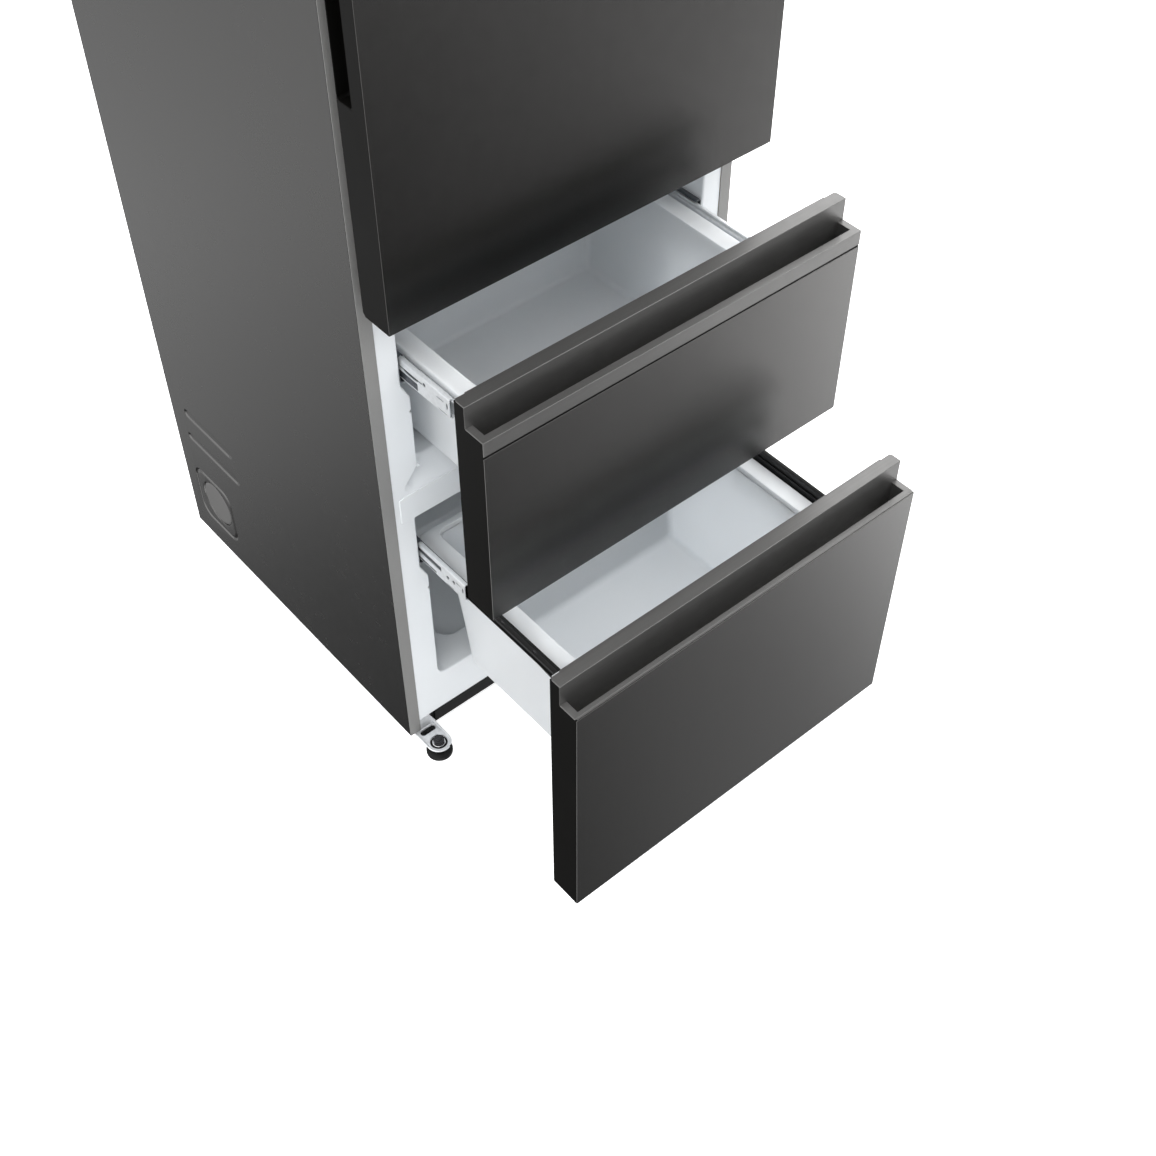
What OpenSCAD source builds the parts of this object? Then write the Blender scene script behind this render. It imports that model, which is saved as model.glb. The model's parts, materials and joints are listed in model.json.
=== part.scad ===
// Free-standing refrigerator-freezer: one tall hinged door above two
// full-width freezer drawers, shown with both drawers pulled out.
// Millimetres. X to the right, Y to the back, Z up from the floor.
// The origin is under the middle of the whole object's box.
// Inside the modules Y = 0 is the front plane of the cabinet flange.

/* [Cabinet] */
// Width of the cabinet and of every front
body_w = 595; // [590:1:600]
// Depth of the cabinet from the front flange to the rear face
body_d = 599; // [590:1:620]
// Height of the cabinet roof above the floor
cab_top = 1836; // [1800:2:1860]
// Height of the bottom edge of the side panels above the floor
floor_gap = 26; // [26:1:27]
// Thickness of the outer steel sheet
sheet = 0.8; // [0.6:0.1:1]
// Visible width of the front flange
flange_w = 18.5; // [18:0.5:19]

/* [Fronts] */
// Thickness of the door and of the drawer fronts
front_t = 49.7; // [49:0.1:51]
// Gap between the flange and the back of a closed front
gap = 14.2; // [14:0.1:15]
// Bottom edge of the door
door_z0 = 832; // [831:1:834]
// Top edge of the door
door_z1 = 1832; // [1800:1:1832]

/* [Upper drawer] */
// How far the upper drawer is pulled out
upper_open = 164.3; // [0:0.1:400]
// Bottom edge of the upper drawer front
u_z0 = 495; // [495:1:497]
// Top of the lip in front of the finger channel
u_zl = 787; // [780:1:790]
// Top of the wall behind the finger channel
u_zt = 818; // [815:1:819]
// Height of the upper slides
u_slide = 712; // [711:0.5:713]
// Top of the rim of the upper basket
u_rim = 726; // [725:1:728]
// Underside of the upper basket
u_bot = 547; // [545:1:560]

/* [Lower drawer] */
// How far the lower drawer is pulled out
lower_open = 320.1; // [0:0.1:400]
// Bottom edge of the lower drawer front
l_z0 = 35; // [34:1:37]
// Top of the lip in front of the finger channel
l_zl = 450; // [445:1:455]
// Top of the wall behind the finger channel
l_zt = 485; // [480:1:487]
// Height of the lower slides
l_slide = 390; // [389:0.5:391]
// Top of the rim of the lower basket
l_rim = 386; // [385:1:388]
// Underside of the lower basket
l_bot = 148; // [140:1:160]

/* [Baskets] */
// Half width over the basket rims
rim_hw = 231; // [229:1:231]
// Half width of the basket mouth
mouth_hw = 203; // [200:1:204]
// Length of the baskets
basket_l = 374; // [360:1:376]

/* [Feet] */
// Radius of the pads of the levelling feet
pad_r = 20; // [18:0.5:22]
// Radius of the rear rollers
roller_r = 15.5; // [15:0.1:15.5]

/* [Hidden] */
$fn = 64;
hw = body_w / 2;
ef = 0.01;
front_y = -(lower_open + gap + front_t);
oy = (body_d + front_y) / 2;
iw = hw - sheet;                 // inside of the side sheet
wall_lo = hw - 61.5;             // half width of the freezer below the ledges
wall_hi = hw - 49.5;             // half width of the freezer at the slides
press = 1.6;                     // depth of the pressed fields
fz_floor = 121;                  // floor of the lower freezer compartment
fz_mid0 = 463;                   // underside of the divider
fz_mid1 = 540;                   // top of the divider
fz_top = 795;                    // roof of the upper freezer compartment
rf_z0 = 864;                     // floor of the refrigerator compartment
rf_z1 = 1794;                    // roof of the refrigerator compartment
rf_hw = hw - 47.5;               // half width of the refrigerator compartment
rf_y1 = body_d - 66;             // back wall of the refrigerator compartment
fz_y1 = body_d - 171;            // back wall of the freezer compartments
bay_y = 365;                     // front wall of the machine bay
bay_z = 238;                     // roof of the machine bay
skin = 2;                        // thickness of the moulded liners
hinge_x = hw - 12.5;
hinge_y = -40;
foot_x = hw - 26.5;
foot_y = -34;

// colours as seen
steel_dark = "#4b4a49"; flange_grey = "#969492"; near_black = "#1c1c1c";
white = "#e9ebec"; handle_grey = "#6f6e6d"; zinc = "#b4b8bb"; frost = "#b8c2c8";

// ---------- helpers ----------
module P() translate([0, -oy, 0]) children();
module bx(x0, x1, y0, y1, z0, z1) translate([x0, y0, z0]) cube([x1 - x0, y1 - y0, z1 - z0]);
// extrusions along Y (outline in X, Z) and along X (outline in Y, Z)
module yex(y0, y1) translate([0, y1, 0]) rotate([90, 0, 0]) linear_extrude(y1 - y0) children();
module xex(x0, x1) translate([x0, 0, 0]) rotate([90, 0, 90]) linear_extrude(x1 - x0) children();
module both() { children(); mirror([1, 0, 0]) children(); }
module rr(x0, y0, x1, y1, r) {
  translate([x0 + r, y0]) square([x1 - x0 - 2 * r, y1 - y0]);
  translate([x0, y0 + r]) square([x1 - x0, y1 - y0 - 2 * r]);
  for (x = [x0 + r, x1 - r], y = [y0 + r, y1 - r]) translate([x, y]) circle(r);
}
function arc(cx, cy, r, a0, a1, n) = [for (i = [0:n]) let (a = a0 + (a1 - a0) * i / n) [cx + r * cos(a), cy + r * sin(a)]];
// freezer compartment outline: narrow foot, 45-degree-like ledge, wider slide zone
module fz_outline(z0, z1, zl, zu, g, r) {
  n = wall_lo + g; w = wall_hi + g;
  polygon(concat(
    arc(n - r, z0 - g + r, r, -90, 0, 6), [[n, zl], [w, zu], [w, z1 + g], [-w, z1 + g], [-w, zu], [-n, zl]],
    arc(-n + r, z0 - g + r, r, 180, 270, 6)));
}
module slide_pocket(g, z) both() bx(-wall_hi - g, -wall_lo + 3, 3.6 - g, 408 + g, z - 23.4 - g, z);
module lower_cavity(g, y0) {
  // the deep part has a leaning back wall in front of the machine bay
  intersection() {
    yex(y0, 340) fz_outline(fz_floor, fz_mid0, 340, 365, g, 22);
    xex(-hw, hw) polygon([[y0, 0], [308 + g, 0], [308 + g, fz_floor], [326 + g, 285], [326 + g, 500], [y0, 500]]);
  }
  intersection() {
    yex(y0, fz_y1 + g) fz_outline(fz_floor, fz_mid0, 340, 365, g, 22);
    bx(-hw, hw, y0, body_d, 285 - g, 480);
  }
  slide_pocket(g, l_slide);
  // shallow well in the floor, behind a flat sill
  translate([0, 0, fz_floor - 22 - g]) linear_extrude(40) rr(-191 - g, 49 - g, 191 + g, 262 + g, 26 + g);
}
// the floor of the upper compartment falls to the front and its corners open out
module mouth_ramp(g, y0) intersection() {
  union() {
    xex(-wall_lo, wall_lo) polygon([[-1, 508 - g], [26, fz_mid1 - g], [26, fz_mid1 + 5], [-1, fz_mid1 + 5]]);
    both() hull() {
      translate([-wall_lo - 32 - g, -1, 508 - g]) cube([32 + g, ef, ef]);
      translate([-wall_lo - g, -1, fz_mid1 + 9 + g]) cube([g + ef, ef, ef]);
      translate([-wall_lo - g, 26, fz_mid1 - g]) cube([g + ef, ef, 10]);
      translate([-wall_lo, -1, 508 - g]) cube([ef, ef, 40]);
    }
  }
  bx(-hw, hw, y0, 60, 490, 570);
}
module upper_cavity(g, y0) {
  yex(y0, fz_y1 + g) fz_outline(fz_mid1, fz_top, 665, 688, g, 22);
  mouth_ramp(g, y0);
  slide_pocket(g, u_slide);
}
module fridge_cavity(g, y0) yex(y0, rf_y1 + g) rr(-rf_hw - g, rf_z0 - g, rf_hw + g, rf_z1 + g, 26 + g);

// ---------- cabinet ----------
// two ribs and a rounded square are pressed inwards into each side sheet, g grows their outlines
module side_fields(g, x0, x1) both() xex(x0, x1) {
  rr(420 - g, 287 - g, 557 + g, 306 + g, 9.4 + g);
  rr(412 - g, 237 - g, 562 + g, 253 + g, 7.9 + g);
  rr(461 - g, 68 - g, 569 + g, 178 + g, 24 + g);
}
module outer_shell() P() color(steel_dark) difference() {
  union() {
    both() bx(-hw, -hw + sheet, 1, body_d, floor_gap, cab_top);
    bx(-hw, hw, 1, body_d, cab_top - sheet, cab_top);
    both() bx(-hw, -hw + 12, body_d - sheet, body_d, floor_gap, cab_top);
    both() bx(-hw, -hw + 10, 1, body_d, floor_gap, floor_gap + sheet);
    side_fields(sheet, -hw + 0.2, -hw + press + sheet);
  }
  side_fields(0, -hw - 1, -hw + press);
}
module front_frame() P() color(flange_grey) union() {
  both() bx(-hw, -hw + flange_w, 0, 1, floor_gap, cab_top);
  bx(-hw, hw, 0, 1, cab_top - flange_w, cab_top);
}
module rear_panel() P() color("#d8d9d8") difference() {
  bx(-iw + 0.2, iw - 0.2, body_d - sheet - 1, body_d - sheet, bay_z + 1, cab_top - sheet);
  for (x = [-180:120:180]) bx(x - 6, x + 6, body_d - sheet - 1.1, body_d - sheet - 0.5, 420, 1700);
}
module cabinet_foam() P() color("#efe3b4") difference() {
  bx(-iw, iw, 3.4, body_d - sheet - 1, floor_gap + sheet, cab_top - sheet);
  lower_cavity(skin, 2);
  upper_cavity(skin, 2);
  fridge_cavity(skin, 2);
  bx(-hw, hw, 2, 14, 20, 48.2);
  // sloped roof of the machine bay
  xex(-hw, hw) polygon([[bay_y, 10], [bay_y, bay_z - 48], [bay_y + 50, bay_z], [body_d + 1, bay_z], [body_d + 1, 10]]);
  side_fields(sheet + 0.1, -hw, -hw + press + sheet + 0.1);
  // pocket for the electronics in the roof
  bx(-100, 100, body_d - 46, body_d + 1, cab_top - 32, cab_top + 1);
}
module fridge_liner() P() color(white) difference() {
  union() {
    fridge_cavity(skin, 1.4);
    bx(-hw + flange_w + 0.2, hw - flange_w - 0.2, 1.4, 3.4, 862.2, cab_top - flange_w - 0.2);
    // shelf ribs stand in from the side walls
  }
  difference() {
    fridge_cavity(0, 0);
    for (z = [1096, 1236, 1416, 1596]) both() xex(-rf_hw - 1, -rf_hw + 5) polygon([[110, z - 10], [500, z - 10], [500, z], [110, z]]);
  }
}
module freezer_liner() P() color(white) difference() {
  union() {
    bx(-hw + flange_w + 0.2, hw - flange_w - 0.2, 1.4, 3.4, 48.2, fz_top - 0.2);
    lower_cavity(skin, 1.4);
    upper_cavity(skin, 1.4);
  }
  lower_cavity(0, 0);
  difference() {
    upper_cavity(0, 0);
    bx(-hw, hw, 0, 3.4, fz_top - 0.2, 900);
  }
  bx(-hw, hw, 0, 3.4, fz_top - 0.2, 900);
}
// white cover strip on the front of the divider, backed by the steel strip the seals hold to
module divider_rail() P() color(white) difference() {
  yex(0.2, 1.4) rr(-270, fz_mid0, 270, 507, 3);
  for (x = [-200, 200]) translate([x, 0, 485]) rotate([-90, 0, 0]) cylinder(r = 2.1, h = 3);
}
module mullion_cover() P() color("#c9cbcc") union() {
  bx(-hw + flange_w + 0.2, hw - flange_w - 0.2, 0.2, 1.4, fz_top, 862);
  bx(-hw + flange_w + 0.2, hw - flange_w - 0.2, 0.2, 3.2, fz_top, fz_top + 1.8);
}
module base_tray() P() color("#2a2a2a") difference() {
  bx(-hw + 0.8, hw - 0.8, 12.4, body_d - 2, floor_gap - 1.5, floor_gap);
  // cooling slots under the machine bay
  for (i = [0:6]) bx(-40 - i * 22, -28 - i * 22, 430, 540, 20, 30);
  both() bx(-256, -222, 552, 592, 20, 30);
}
module front_base_rail() P() color(near_black) difference() {
  bx(-hw + 46.5, hw - 46.5, 0, 12, floor_gap - 3, 48);
  bx(-hw, hw, 1.5, 13, floor_gap - 1.5, 46.5);
}
module foot_bracket() {
  t0 = 21.5; t1 = 24.5;
  difference() {
    union() {
      // tongue with a round nose
      translate([-foot_x, foot_y, t0]) cylinder(r = 19.5, h = t1 - t0);
      bx(-foot_x - 19.5, -foot_x + 19.5, foot_y, 70, t0, t1);
      // upright tab against the cabinet front
      yex(0, 2.5) polygon([[-hw + 18.7, t0], [-hw + 46.3, t0], [-hw + 46.3, 24], [-hw + 36, 48], [-hw + 18.7, 48]]);
      // pressed collar round the stem
      translate([-foot_x, foot_y, t1 - ef]) cylinder(r = 12, h = 1.2);
    }
    translate([-foot_x, foot_y, 0]) cylinder(r = 5.05, h = 60);
    // slot at the bend
    translate([0, 0, t0 - 1]) linear_extrude(20) rr(-foot_x - 13, -10, -foot_x + 13, -1, 4);
  }
}
module foot_brackets() P() color("silver") both() foot_bracket();
module foot() {
  rotate_extrude() polygon([[0, 0], [18, 0], [pad_r, 2], [pad_r, 8], [17.5, 10.5], [11, 12.5], [9, 15], [4.97, 15], [4.97, 15], [4.97, 27], [4.97, 31], [0, 31]]);
  // hexagon that turns the foot, above the bracket
  difference() { translate([0, 0, 26]) cylinder(r = 9.2, h = 5, $fn = 6); translate([0, 0, 20]) cylinder(r = 4.9, h = 6.5); }
  difference() { translate([0, 0, 14]) cylinder(r = 8, h = 7.2, $fn = 6); translate([0, 0, 10]) cylinder(r = 4.9, h = 4.5); }
}
module front_foot_left() P() color("#181818") translate([-foot_x, foot_y, 0]) foot();
module front_foot_right() P() color("#181818") translate([foot_x, foot_y, 0]) foot();
module roller_brackets() P() color("silver") both() {
  // U-shaped bracket riveted to the base, with its axle pin
  union() {
    for (x = [-251, -229]) bx(x, x + 2, 562, 588, 8, 24.5);
    bx(-263, -249, 562, 588, 23.1, 24.5);
    bx(-229, -215, 562, 588, 23.1, 24.5);
    translate([-253, 575, roller_r]) rotate([0, 90, 0]) cylinder(r = 3, h = 28);
  }
}
module roller() {
  {
    rotate([0, 90, 0]) rotate_extrude() polygon([[3.06, -9.5], [12.5, -9.5], [roller_r - 0.5, -9], [roller_r, -8], [roller_r, 8], [roller_r - 0.5, 9], [12.5, 9.5], [3.06, 9.5]]);
  }
}
module rear_roller_left() P() color("#303030") translate([-239, 575, roller_r]) intersection() { roller(); cube([18, 80, 80], center = true); }
module rear_roller_right() P() color("#303030") translate([239, 575, roller_r]) intersection() { roller(); cube([18, 80, 80], center = true); }

// ---------- machine bay ----------
module compressor() P() color("#1f1f1f") translate([130, 480, floor_gap]) union() {
  // hermetic shell on a base plate with three stubs
  rotate_extrude() polygon(concat([[0, 14], [40, 14]], arc(40, 40, 26, -90, 0, 8), arc(26, 96, 40, 0, 80, 10), [[0, 136]]));
  difference() {
    translate([-80, -55, 9]) linear_extrude(4) rr(0, 0, 160, 110, 14);
    for (x = [-66, 66], y = [-42, 42]) translate([x, y, 0]) cylinder(r = 8, h = 30);
  }
  translate([0, 0, 12]) cylinder(r = 42, h = 6);
  for (x = [-66, 66], y = [-42, 42]) translate([x, y, 0]) difference() { cylinder(r = 11, h = 9.2); cylinder(r = 4, h = 40, center = true); }
  translate([-60, 0, 70]) rotate([0, -90, 0]) cylinder(r = 5, h = 22);
  translate([-50, 26, 60]) rotate([0, -90, 0]) cylinder(r = 3.5, h = 26);
  // starting relay cover
  translate([55, -26, 40]) cube([30, 52, 46]);
}
module condenser() P() color("#26292b") translate([-165, 470, floor_gap + 20]) {
  // serpentine tube: straight runs joined by return bends, with end plates
  union() {
    for (i = [0:6], j = [0:1]) translate([-75, j * 40 - 20, 10 + i * 20]) rotate([0, 90, 0]) cylinder(r = 2.6, h = 150);
    for (j = [0:1], i = [0:2:5]) translate([75, j * 40 - 20, 20 + i * 20]) rotate([90, 0, 0]) rotate([0, 0, -90]) rotate_extrude(angle = 180) translate([10, 0]) circle(2.6);
    for (j = [0:1], i = [1:2:5]) translate([-75, j * 40 - 20, 20 + i * 20]) rotate([90, 0, 0]) rotate([0, 0, 90]) rotate_extrude(angle = 180) translate([10, 0]) circle(2.6);
    for (x = [-66:12:66]) translate([x, -26, 2]) cube([0.8, 52, 136]);
    translate([-72, -26, -20]) cube([1.6, 52, 158]);
    translate([70.4, -26, -20]) cube([1.6, 52, 158]);
  }
}
module drip_tray() P() color("#3a3a3a") difference() {
  translate([0, 0, 162.2]) linear_extrude(30) rr(40, 400, 215, 560, 12);
  translate([0, 0, 164.7]) linear_extrude(40) rr(42.5, 402.5, 212.5, 557.5, 10);
}
module compressor_cover() P() color("#2d2f30") difference() {
  bx(-hw + 14, hw - 14, body_d - sheet - 1.6, body_d - sheet - 0.1, floor_gap + 1.2, bay_z - 1);
  for (i = [0:7], x = [-230, -150, -70]) bx(x, x + 60, body_d - 6, body_d + 1, 60 + i * 22, 68 + i * 22);
  for (i = [0:7], x = [60, 140]) bx(x, x + 60, body_d - 6, body_d + 1, 60 + i * 22, 68 + i * 22);
  translate([250, body_d, 60]) rotate([90, 0, 0]) cylinder(r = 7, h = 12, center = true);
}
// strain relief bush where the supply lead leaves
module cord_gland() P() color("black") translate([250, body_d - sheet, 60]) rotate([90, 0, 0]) difference() {
  union() { translate([0, 0, 0.1]) cylinder(r = 6.9, h = 12); translate([0, 0, 2]) cylinder(r = 10, h = 3); }
  translate([0, 0, -1]) cylinder(r = 3.4, h = 30);
}
module electronics_box() P() color("#d0d0cc") difference() {
  bx(-98, 98, body_d - 44, body_d - sheet - 1.2, cab_top - 31, cab_top - sheet - 0.2);
  bx(-95.5, 95.5, body_d - 41.5, body_d - 6, cab_top - 29, cab_top - 8);
  // vent slots open the box downwards to its wiring side
  for (i = [0:8]) bx(-80 + i * 18, -72 + i * 18, body_d - 38, body_d - 12, cab_top - 40, cab_top - 20);
}
// ---------- cold circuit ----------
module evaporator() P() color("#c9ced2") union() {
  for (i = [0:20]) bx(-200 + i * 20, -199.2 + i * 20, 401.9, 427.9, 560, 666);
  for (z = [574, 600, 626, 652], y = [408, 421]) translate([-208, y, z]) rotate([0, 90, 0]) cylinder(r = 3.4, h = 416);
  for (z = [574, 626], y = [408, 421]) translate([208, y, z + 13]) rotate([90, 0, 0]) rotate([0, 0, -90]) rotate_extrude(angle = 180) translate([13, 0]) circle(3.4);
}
module evaporator_cover() P() color(white) difference() {
  union() {
    yex(384, 387) polygon([[-wall_lo + 1, fz_mid1 + 22], [-wall_lo + 1, 668], [-wall_hi + 1, 691], [-wall_hi + 1, fz_top - 1], [wall_hi - 1, fz_top - 1], [wall_hi - 1, 691], [wall_lo - 1, 668], [wall_lo - 1, fz_mid1 + 22]]);
    // fan shroud and the arms that hold the motor
    translate([0, 384, 730]) rotate([-90, 0, 0]) difference() { cylinder(r = 54, h = 24); translate([0, 0, -1]) cylinder(r = 50, h = 40); }
  }
  translate([0, 380, 730]) rotate([-90, 0, 0]) difference() { cylinder(r = 46, h = 12); }
  both() bx(-wall_hi, -wall_hi + 9, 380, 390, u_slide - 24, u_slide + 24);
  for (i = [0:9]) bx(-180 + i * 38, -160 + i * 38, 380, 390, 600, 606);
  for (i = [0:9]) bx(-180 + i * 38, -160 + i * 38, 380, 390, 616, 622);
}
module fan_motor() P() color("#e2e2de") union() {
  translate([0, 408, 730]) rotate([-90, 0, 0]) cylinder(r = 20, h = 16);
  for (a = [45:90:315]) translate([0, 412, 730]) rotate([0, a, 0]) translate([15, 0, -2]) cube([36.5, 3, 4]);
  for (a = [45:90:315]) translate([0, 408.2, 730]) rotate([0, a, 0]) translate([50.2, 0, -3]) cube([3.4, 8.3, 6]);
  translate([0, 394, 730]) rotate([-90, 0, 0]) cylinder(r = 2, h = 18);
}
module evaporator_fan() P() color("#33373a") translate([0, 400, 730]) rotate([-90, 0, 0]) difference() {
  union() {
    translate([0, 0, -5.5]) cylinder(r = 15, h = 12);
    for (a = [0:72:359]) rotate([0, 0, a]) translate([10, -1, 0]) rotate([32, 0, 0]) translate([0, -9, -0.8]) cube([34, 18, 1.6]);
  }
  translate([0, 0, -7]) cylinder(r = 2.06, h = 20);
}
module fridge_air_duct() P() color(white) difference() {
  union() {
    bx(-110, 110, rf_y1 - 14, rf_y1 - 0.1, 1100, 1760);
    bx(-60, 60, rf_y1 - 20, rf_y1 - 13.9, 1120, 1740);
  }
  bx(-104, 104, rf_y1 - 12, rf_y1 + 1, 1106, 1754);
  for (z = [1180:180:1720], x = [-100, 64]) bx(x, x + 36, rf_y1 - 30, rf_y1 - 10, z, z + 8);
}
module led_lamp() P() color("#fbfbf4") bx(-90, 90, 150, 190, rf_z1 - 8, rf_z1 - 0.1);
module control_panel() P() color("#202224") union() {
  bx(-120, 120, 40, 130, rf_z1 - 14, rf_z1 - 0.1);
  for (x = [-60, -20, 20, 60]) translate([x, 38.5, rf_z1 - 7]) rotate([-90, 0, 0]) cylinder(r = 4.5, h = 2);
}
module glass_shelves() P() color("#bfe0dc", 0.5) {
  for (z = [1236, 1416, 1596]) bx(-rf_hw + 1.5, rf_hw - 1.5, 112, 498, z + 0.1, z + 4.1);
  bx(-rf_hw + 1.5, rf_hw - 1.5, 104, 498, 1096.1, 1100.1);
}
module shelf_trims() P() color("#d5d9da") {
  for (z = [1236, 1416, 1596]) {
    difference() { bx(-rf_hw + 6, rf_hw - 6, 104, 118, z - 3, z + 7); bx(-hw, hw, 111.9, 130, z, z + 4.2); }
    difference() { bx(-rf_hw + 6, rf_hw - 6, 492, 504, z - 3, z + 14); bx(-hw, hw, 480, 498.1, z, z + 4.2); }
  }
  // runners that carry the crisper
  both() bx(-rf_hw + 0.1, -rf_hw + 16, 120, 490, 1038, 1045.9);
}
module crisper_drawer() P() color("#dfe6ea", 0.8) union() {
  difference() {
    translate([0, 0, 878]) linear_extrude(180) rr(-222, 114, 222, 490, 20);
    translate([0, 0, 881]) linear_extrude(200) rr(-219.5, 116.5, 219.5, 487.5, 17.5);
  }
  // rim that hangs on the runners
  difference() {
    translate([0, 0, 1046]) linear_extrude(6) rr(-238, 112, 238, 492, 8);
    translate([0, 0, 1040]) linear_extrude(20) rr(-220, 116, 220, 488, 17.5);
  }
  // front panel with a pull lip
  bx(-238, 238, 106, 112.4, 872, 1084);
  bx(-120, 120, 98, 106.2, 1068, 1074);
}
// ---------- hinges ----------
module top_hinge() P() color("silver") difference() {
  union() {
    translate([0, 0, cab_top]) linear_extrude(4) union() {
      translate([hinge_x, hinge_y]) circle(9);
      translate([hinge_x - 60, 8]) square([60 + 9, 70]);
      polygon([[hinge_x - 9, hinge_y], [hinge_x + 9, hinge_y], [hinge_x + 9, 20], [hinge_x - 48, 20]]);
    }
    translate([hinge_x, hinge_y, door_z1 - 16]) cylinder(r = 5, h = cab_top - door_z1 + 18);
  }
  for (x = [hinge_x - 45, hinge_x - 15, ], y = [30, 60]) translate([x, y, cab_top - 1]) cylinder(r = 3.2, h = 8);
}
module hinge_cover() P() color("#2b2b2b") difference() {
  translate([0, 0, cab_top]) linear_extrude(14) rr(hinge_x - 70, -58, hw - 0.5, 86, 6);
  translate([0, 0, cab_top - 1]) linear_extrude(13) rr(hinge_x - 68, -56, hw - 2.5, 84, 4);
}
module middle_hinge() P() color("silver") difference() {
  union() {
    // plate between the door and the drawer, with the lower hinge pin
    translate([0, 0, 822]) linear_extrude(4) union() {
      translate([hinge_x, hinge_y]) circle(9);
      translate([hinge_x - 9, hinge_y]) square([18, -hinge_y]);
      polygon([[hinge_x - 9, hinge_y], [hinge_x - 9, 0], [hinge_x - 46, 0]]);
    }
    bx(hinge_x - 46, hinge_x + 9, -3, 0, 822, 838.5);
    translate([hinge_x, hinge_y, 822]) cylinder(r = 5, h = 26);
    translate([hinge_x, hinge_y, 822]) cylinder(r = 9, h = 9.6);
  }
  for (x = [hinge_x - 36, hinge_x - 8]) translate([x, 5, 832]) rotate([90, 0, 0]) cylinder(r = 2.6, h = 20);
}
// ---------- telescopic slides ----------
module slide_outer(z, y0, y1) difference() {
  bx(-wall_hi + 0.1, -wall_hi + 8, y0, y1, z - 21.5, z + 21.5);
  bx(-wall_hi + 1.3, -wall_hi + 9, y0 - 1, y1 + 1, z - 20.3, z + 20.3);
}
module slide_lips(z, y0, y1) for (s = [-1, 1])
  bx(-wall_hi + 6.8, -wall_hi + 8, y0, y1, z + s * 19.1 - 1.3, z + s * 19.1 + 1.3);
module slide_cabinet_members() P() color(zinc) both() {
  for (z = [u_slide, l_slide]) union() {
    slide_outer(z, 4, 404); slide_lips(z, 4, 404);
    for (y = [40, 200, 360]) translate([-wall_hi + 1.2, y, z]) rotate([0, 90, 0]) cylinder(r = 4, h = 1.1);
  }
}
module slide_mid(z, y0, y1) difference() {
  union() {
    bx(-wall_hi + 3, -wall_hi + 4.2, y0, y1, z - 16, z + 16);
    for (s = [-1, 1]) bx(-wall_hi + 3, -wall_hi + 9.5, y0, y1, z + s * 15.4 - 0.6, z + s * 15.4 + 0.6);
    for (s = [-1, 1]) bx(-wall_hi + 8.3, -wall_hi + 9.5, y0, y1, z + s * 14.3 - 0.8, z + s * 14.3 + 0.8);
  }
  // key holes near the front end
  translate([-wall_hi, y0 + 46, z + 2]) rotate([0, 90, 0]) cylinder(r = 3, h = 10);
  translate([0, y0 + 14, z + 2]) rotate([0, 0, 0]) bx(-hw, -wall_hi + 6, 0, 14, -1.5, 1.5);
  translate([-wall_hi, y0 + 9, z - 3]) rotate([0, 90, 0]) cylinder(r = 2.2, h = 10);
}
module upper_slide_middle() P() color(zinc) both()
  slide_mid(u_slide, -6 - upper_open / 2, 372 - upper_open / 2);
module lower_slide_middle() P() color(zinc) both()
  slide_mid(l_slide, 65 - lower_open / 2, 400 - lower_open / 2);
// drawer-side member with the shelf that carries the basket rim
module drawer_rails(e, z, rim) both() union() {
  y0 = -e + 12.1; y1 = y0 + 352;
  difference() {
    bx(-wall_hi + 7, -wall_hi + 13, y0, y1, z - 12, z + 12);
    bx(-hw, -wall_hi + 11.8, y0 - 1, y1 + 1, z - 10.8, z + 10.8);
  }
  // carrier, deeper towards the front that it holds
  xex(-wall_hi + 12.9, -wall_hi + 15.4) polygon([[y0, z - 34], [y0 + 186, z - 15], [y1, z - 15], [y1, max(rim - 8.5, z + 2)], [y0, max(rim - 8.5, z + 2)]]);
  bx(-wall_hi + 15, -213, y0, y1, rim - 10.5, rim - 8.5);
  // foot of the rail screwed to the inside of the drawer front
  bx(-wall_hi + 15, -wall_hi + 17, y0, y0 + 12, z - 42, rim - 8.6);
  bx(-wall_hi + 15, -206, y0, y0 + 2, z - 42, rim - 8.6);
  for (y = [y0 + 92, y0 + 157]) translate([-wall_hi + 11.9, y, z]) rotate([0, -90, 0]) cylinder(r = 3.6, h = 1.4);
}
// ---------- fronts ----------
// side outline of a drawer front: full depth up to the lip, then only the rear wall
module drawer_side(e, z0, zl, zt, d) polygon([[-e, z0], [-e, zt - d], [-e - 18.4, zt - d], [-e - 18.4, zl - d], [-e - front_t + 1.2, zl - d], [-e - front_t + 1.2, z0]]);
module drawer_panel(e, z0, z1) bx(-hw, hw, -e - front_t, -e - front_t + 1.2, z0, z1);
module drawer_frame(e, z0, zl, zt) union() {
  both() xex(-hw, -hw + 2) drawer_side(e, z0, zl, zt, 1.5);
  bx(-hw, hw, -e - front_t + 1.2, -e, z0, z0 + 2);
}
module drawer_handle(e, z0, zl, zt, band) difference() {
  union() {
    bx(-hw + 2, hw - 2, -e - 18.4, -e, zl - 42, zt - 1.5);
    bx(-hw, hw, -e - 18.4, -e, zt - 1.5, zt);
    bx(-hw + 2, hw - 2, -e - 39.2, -e - 18.4, zl - 42, zl - 38);
    bx(-hw + 2, hw - 2, -e - front_t + 1.2, -e - 39.2, zl - 42, zl - 1.5);
    bx(-hw, hw, -e - front_t + 1.2, -e - 39.2, zl - 1.5, zl);
    both() bx(-hw + 2, -hw + 10.3, -e - 39.2, -e - 18.4, zl - 38, zl - 1.5);
    both() bx(-hw, -hw + 10.3, -e - 39.3, -e - 18.3, zl - 1.5, zl);
    if (band > 0) bx(-hw, hw, -e - front_t, -e - front_t + 1.3, zl - band, zl);
  }
  // the wall behind the fingers is a hollow section, open below
  bx(-hw + 5, hw - 5, -e - 15.9, -e - 2.5, zl - 43, zt - 4);
}
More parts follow.
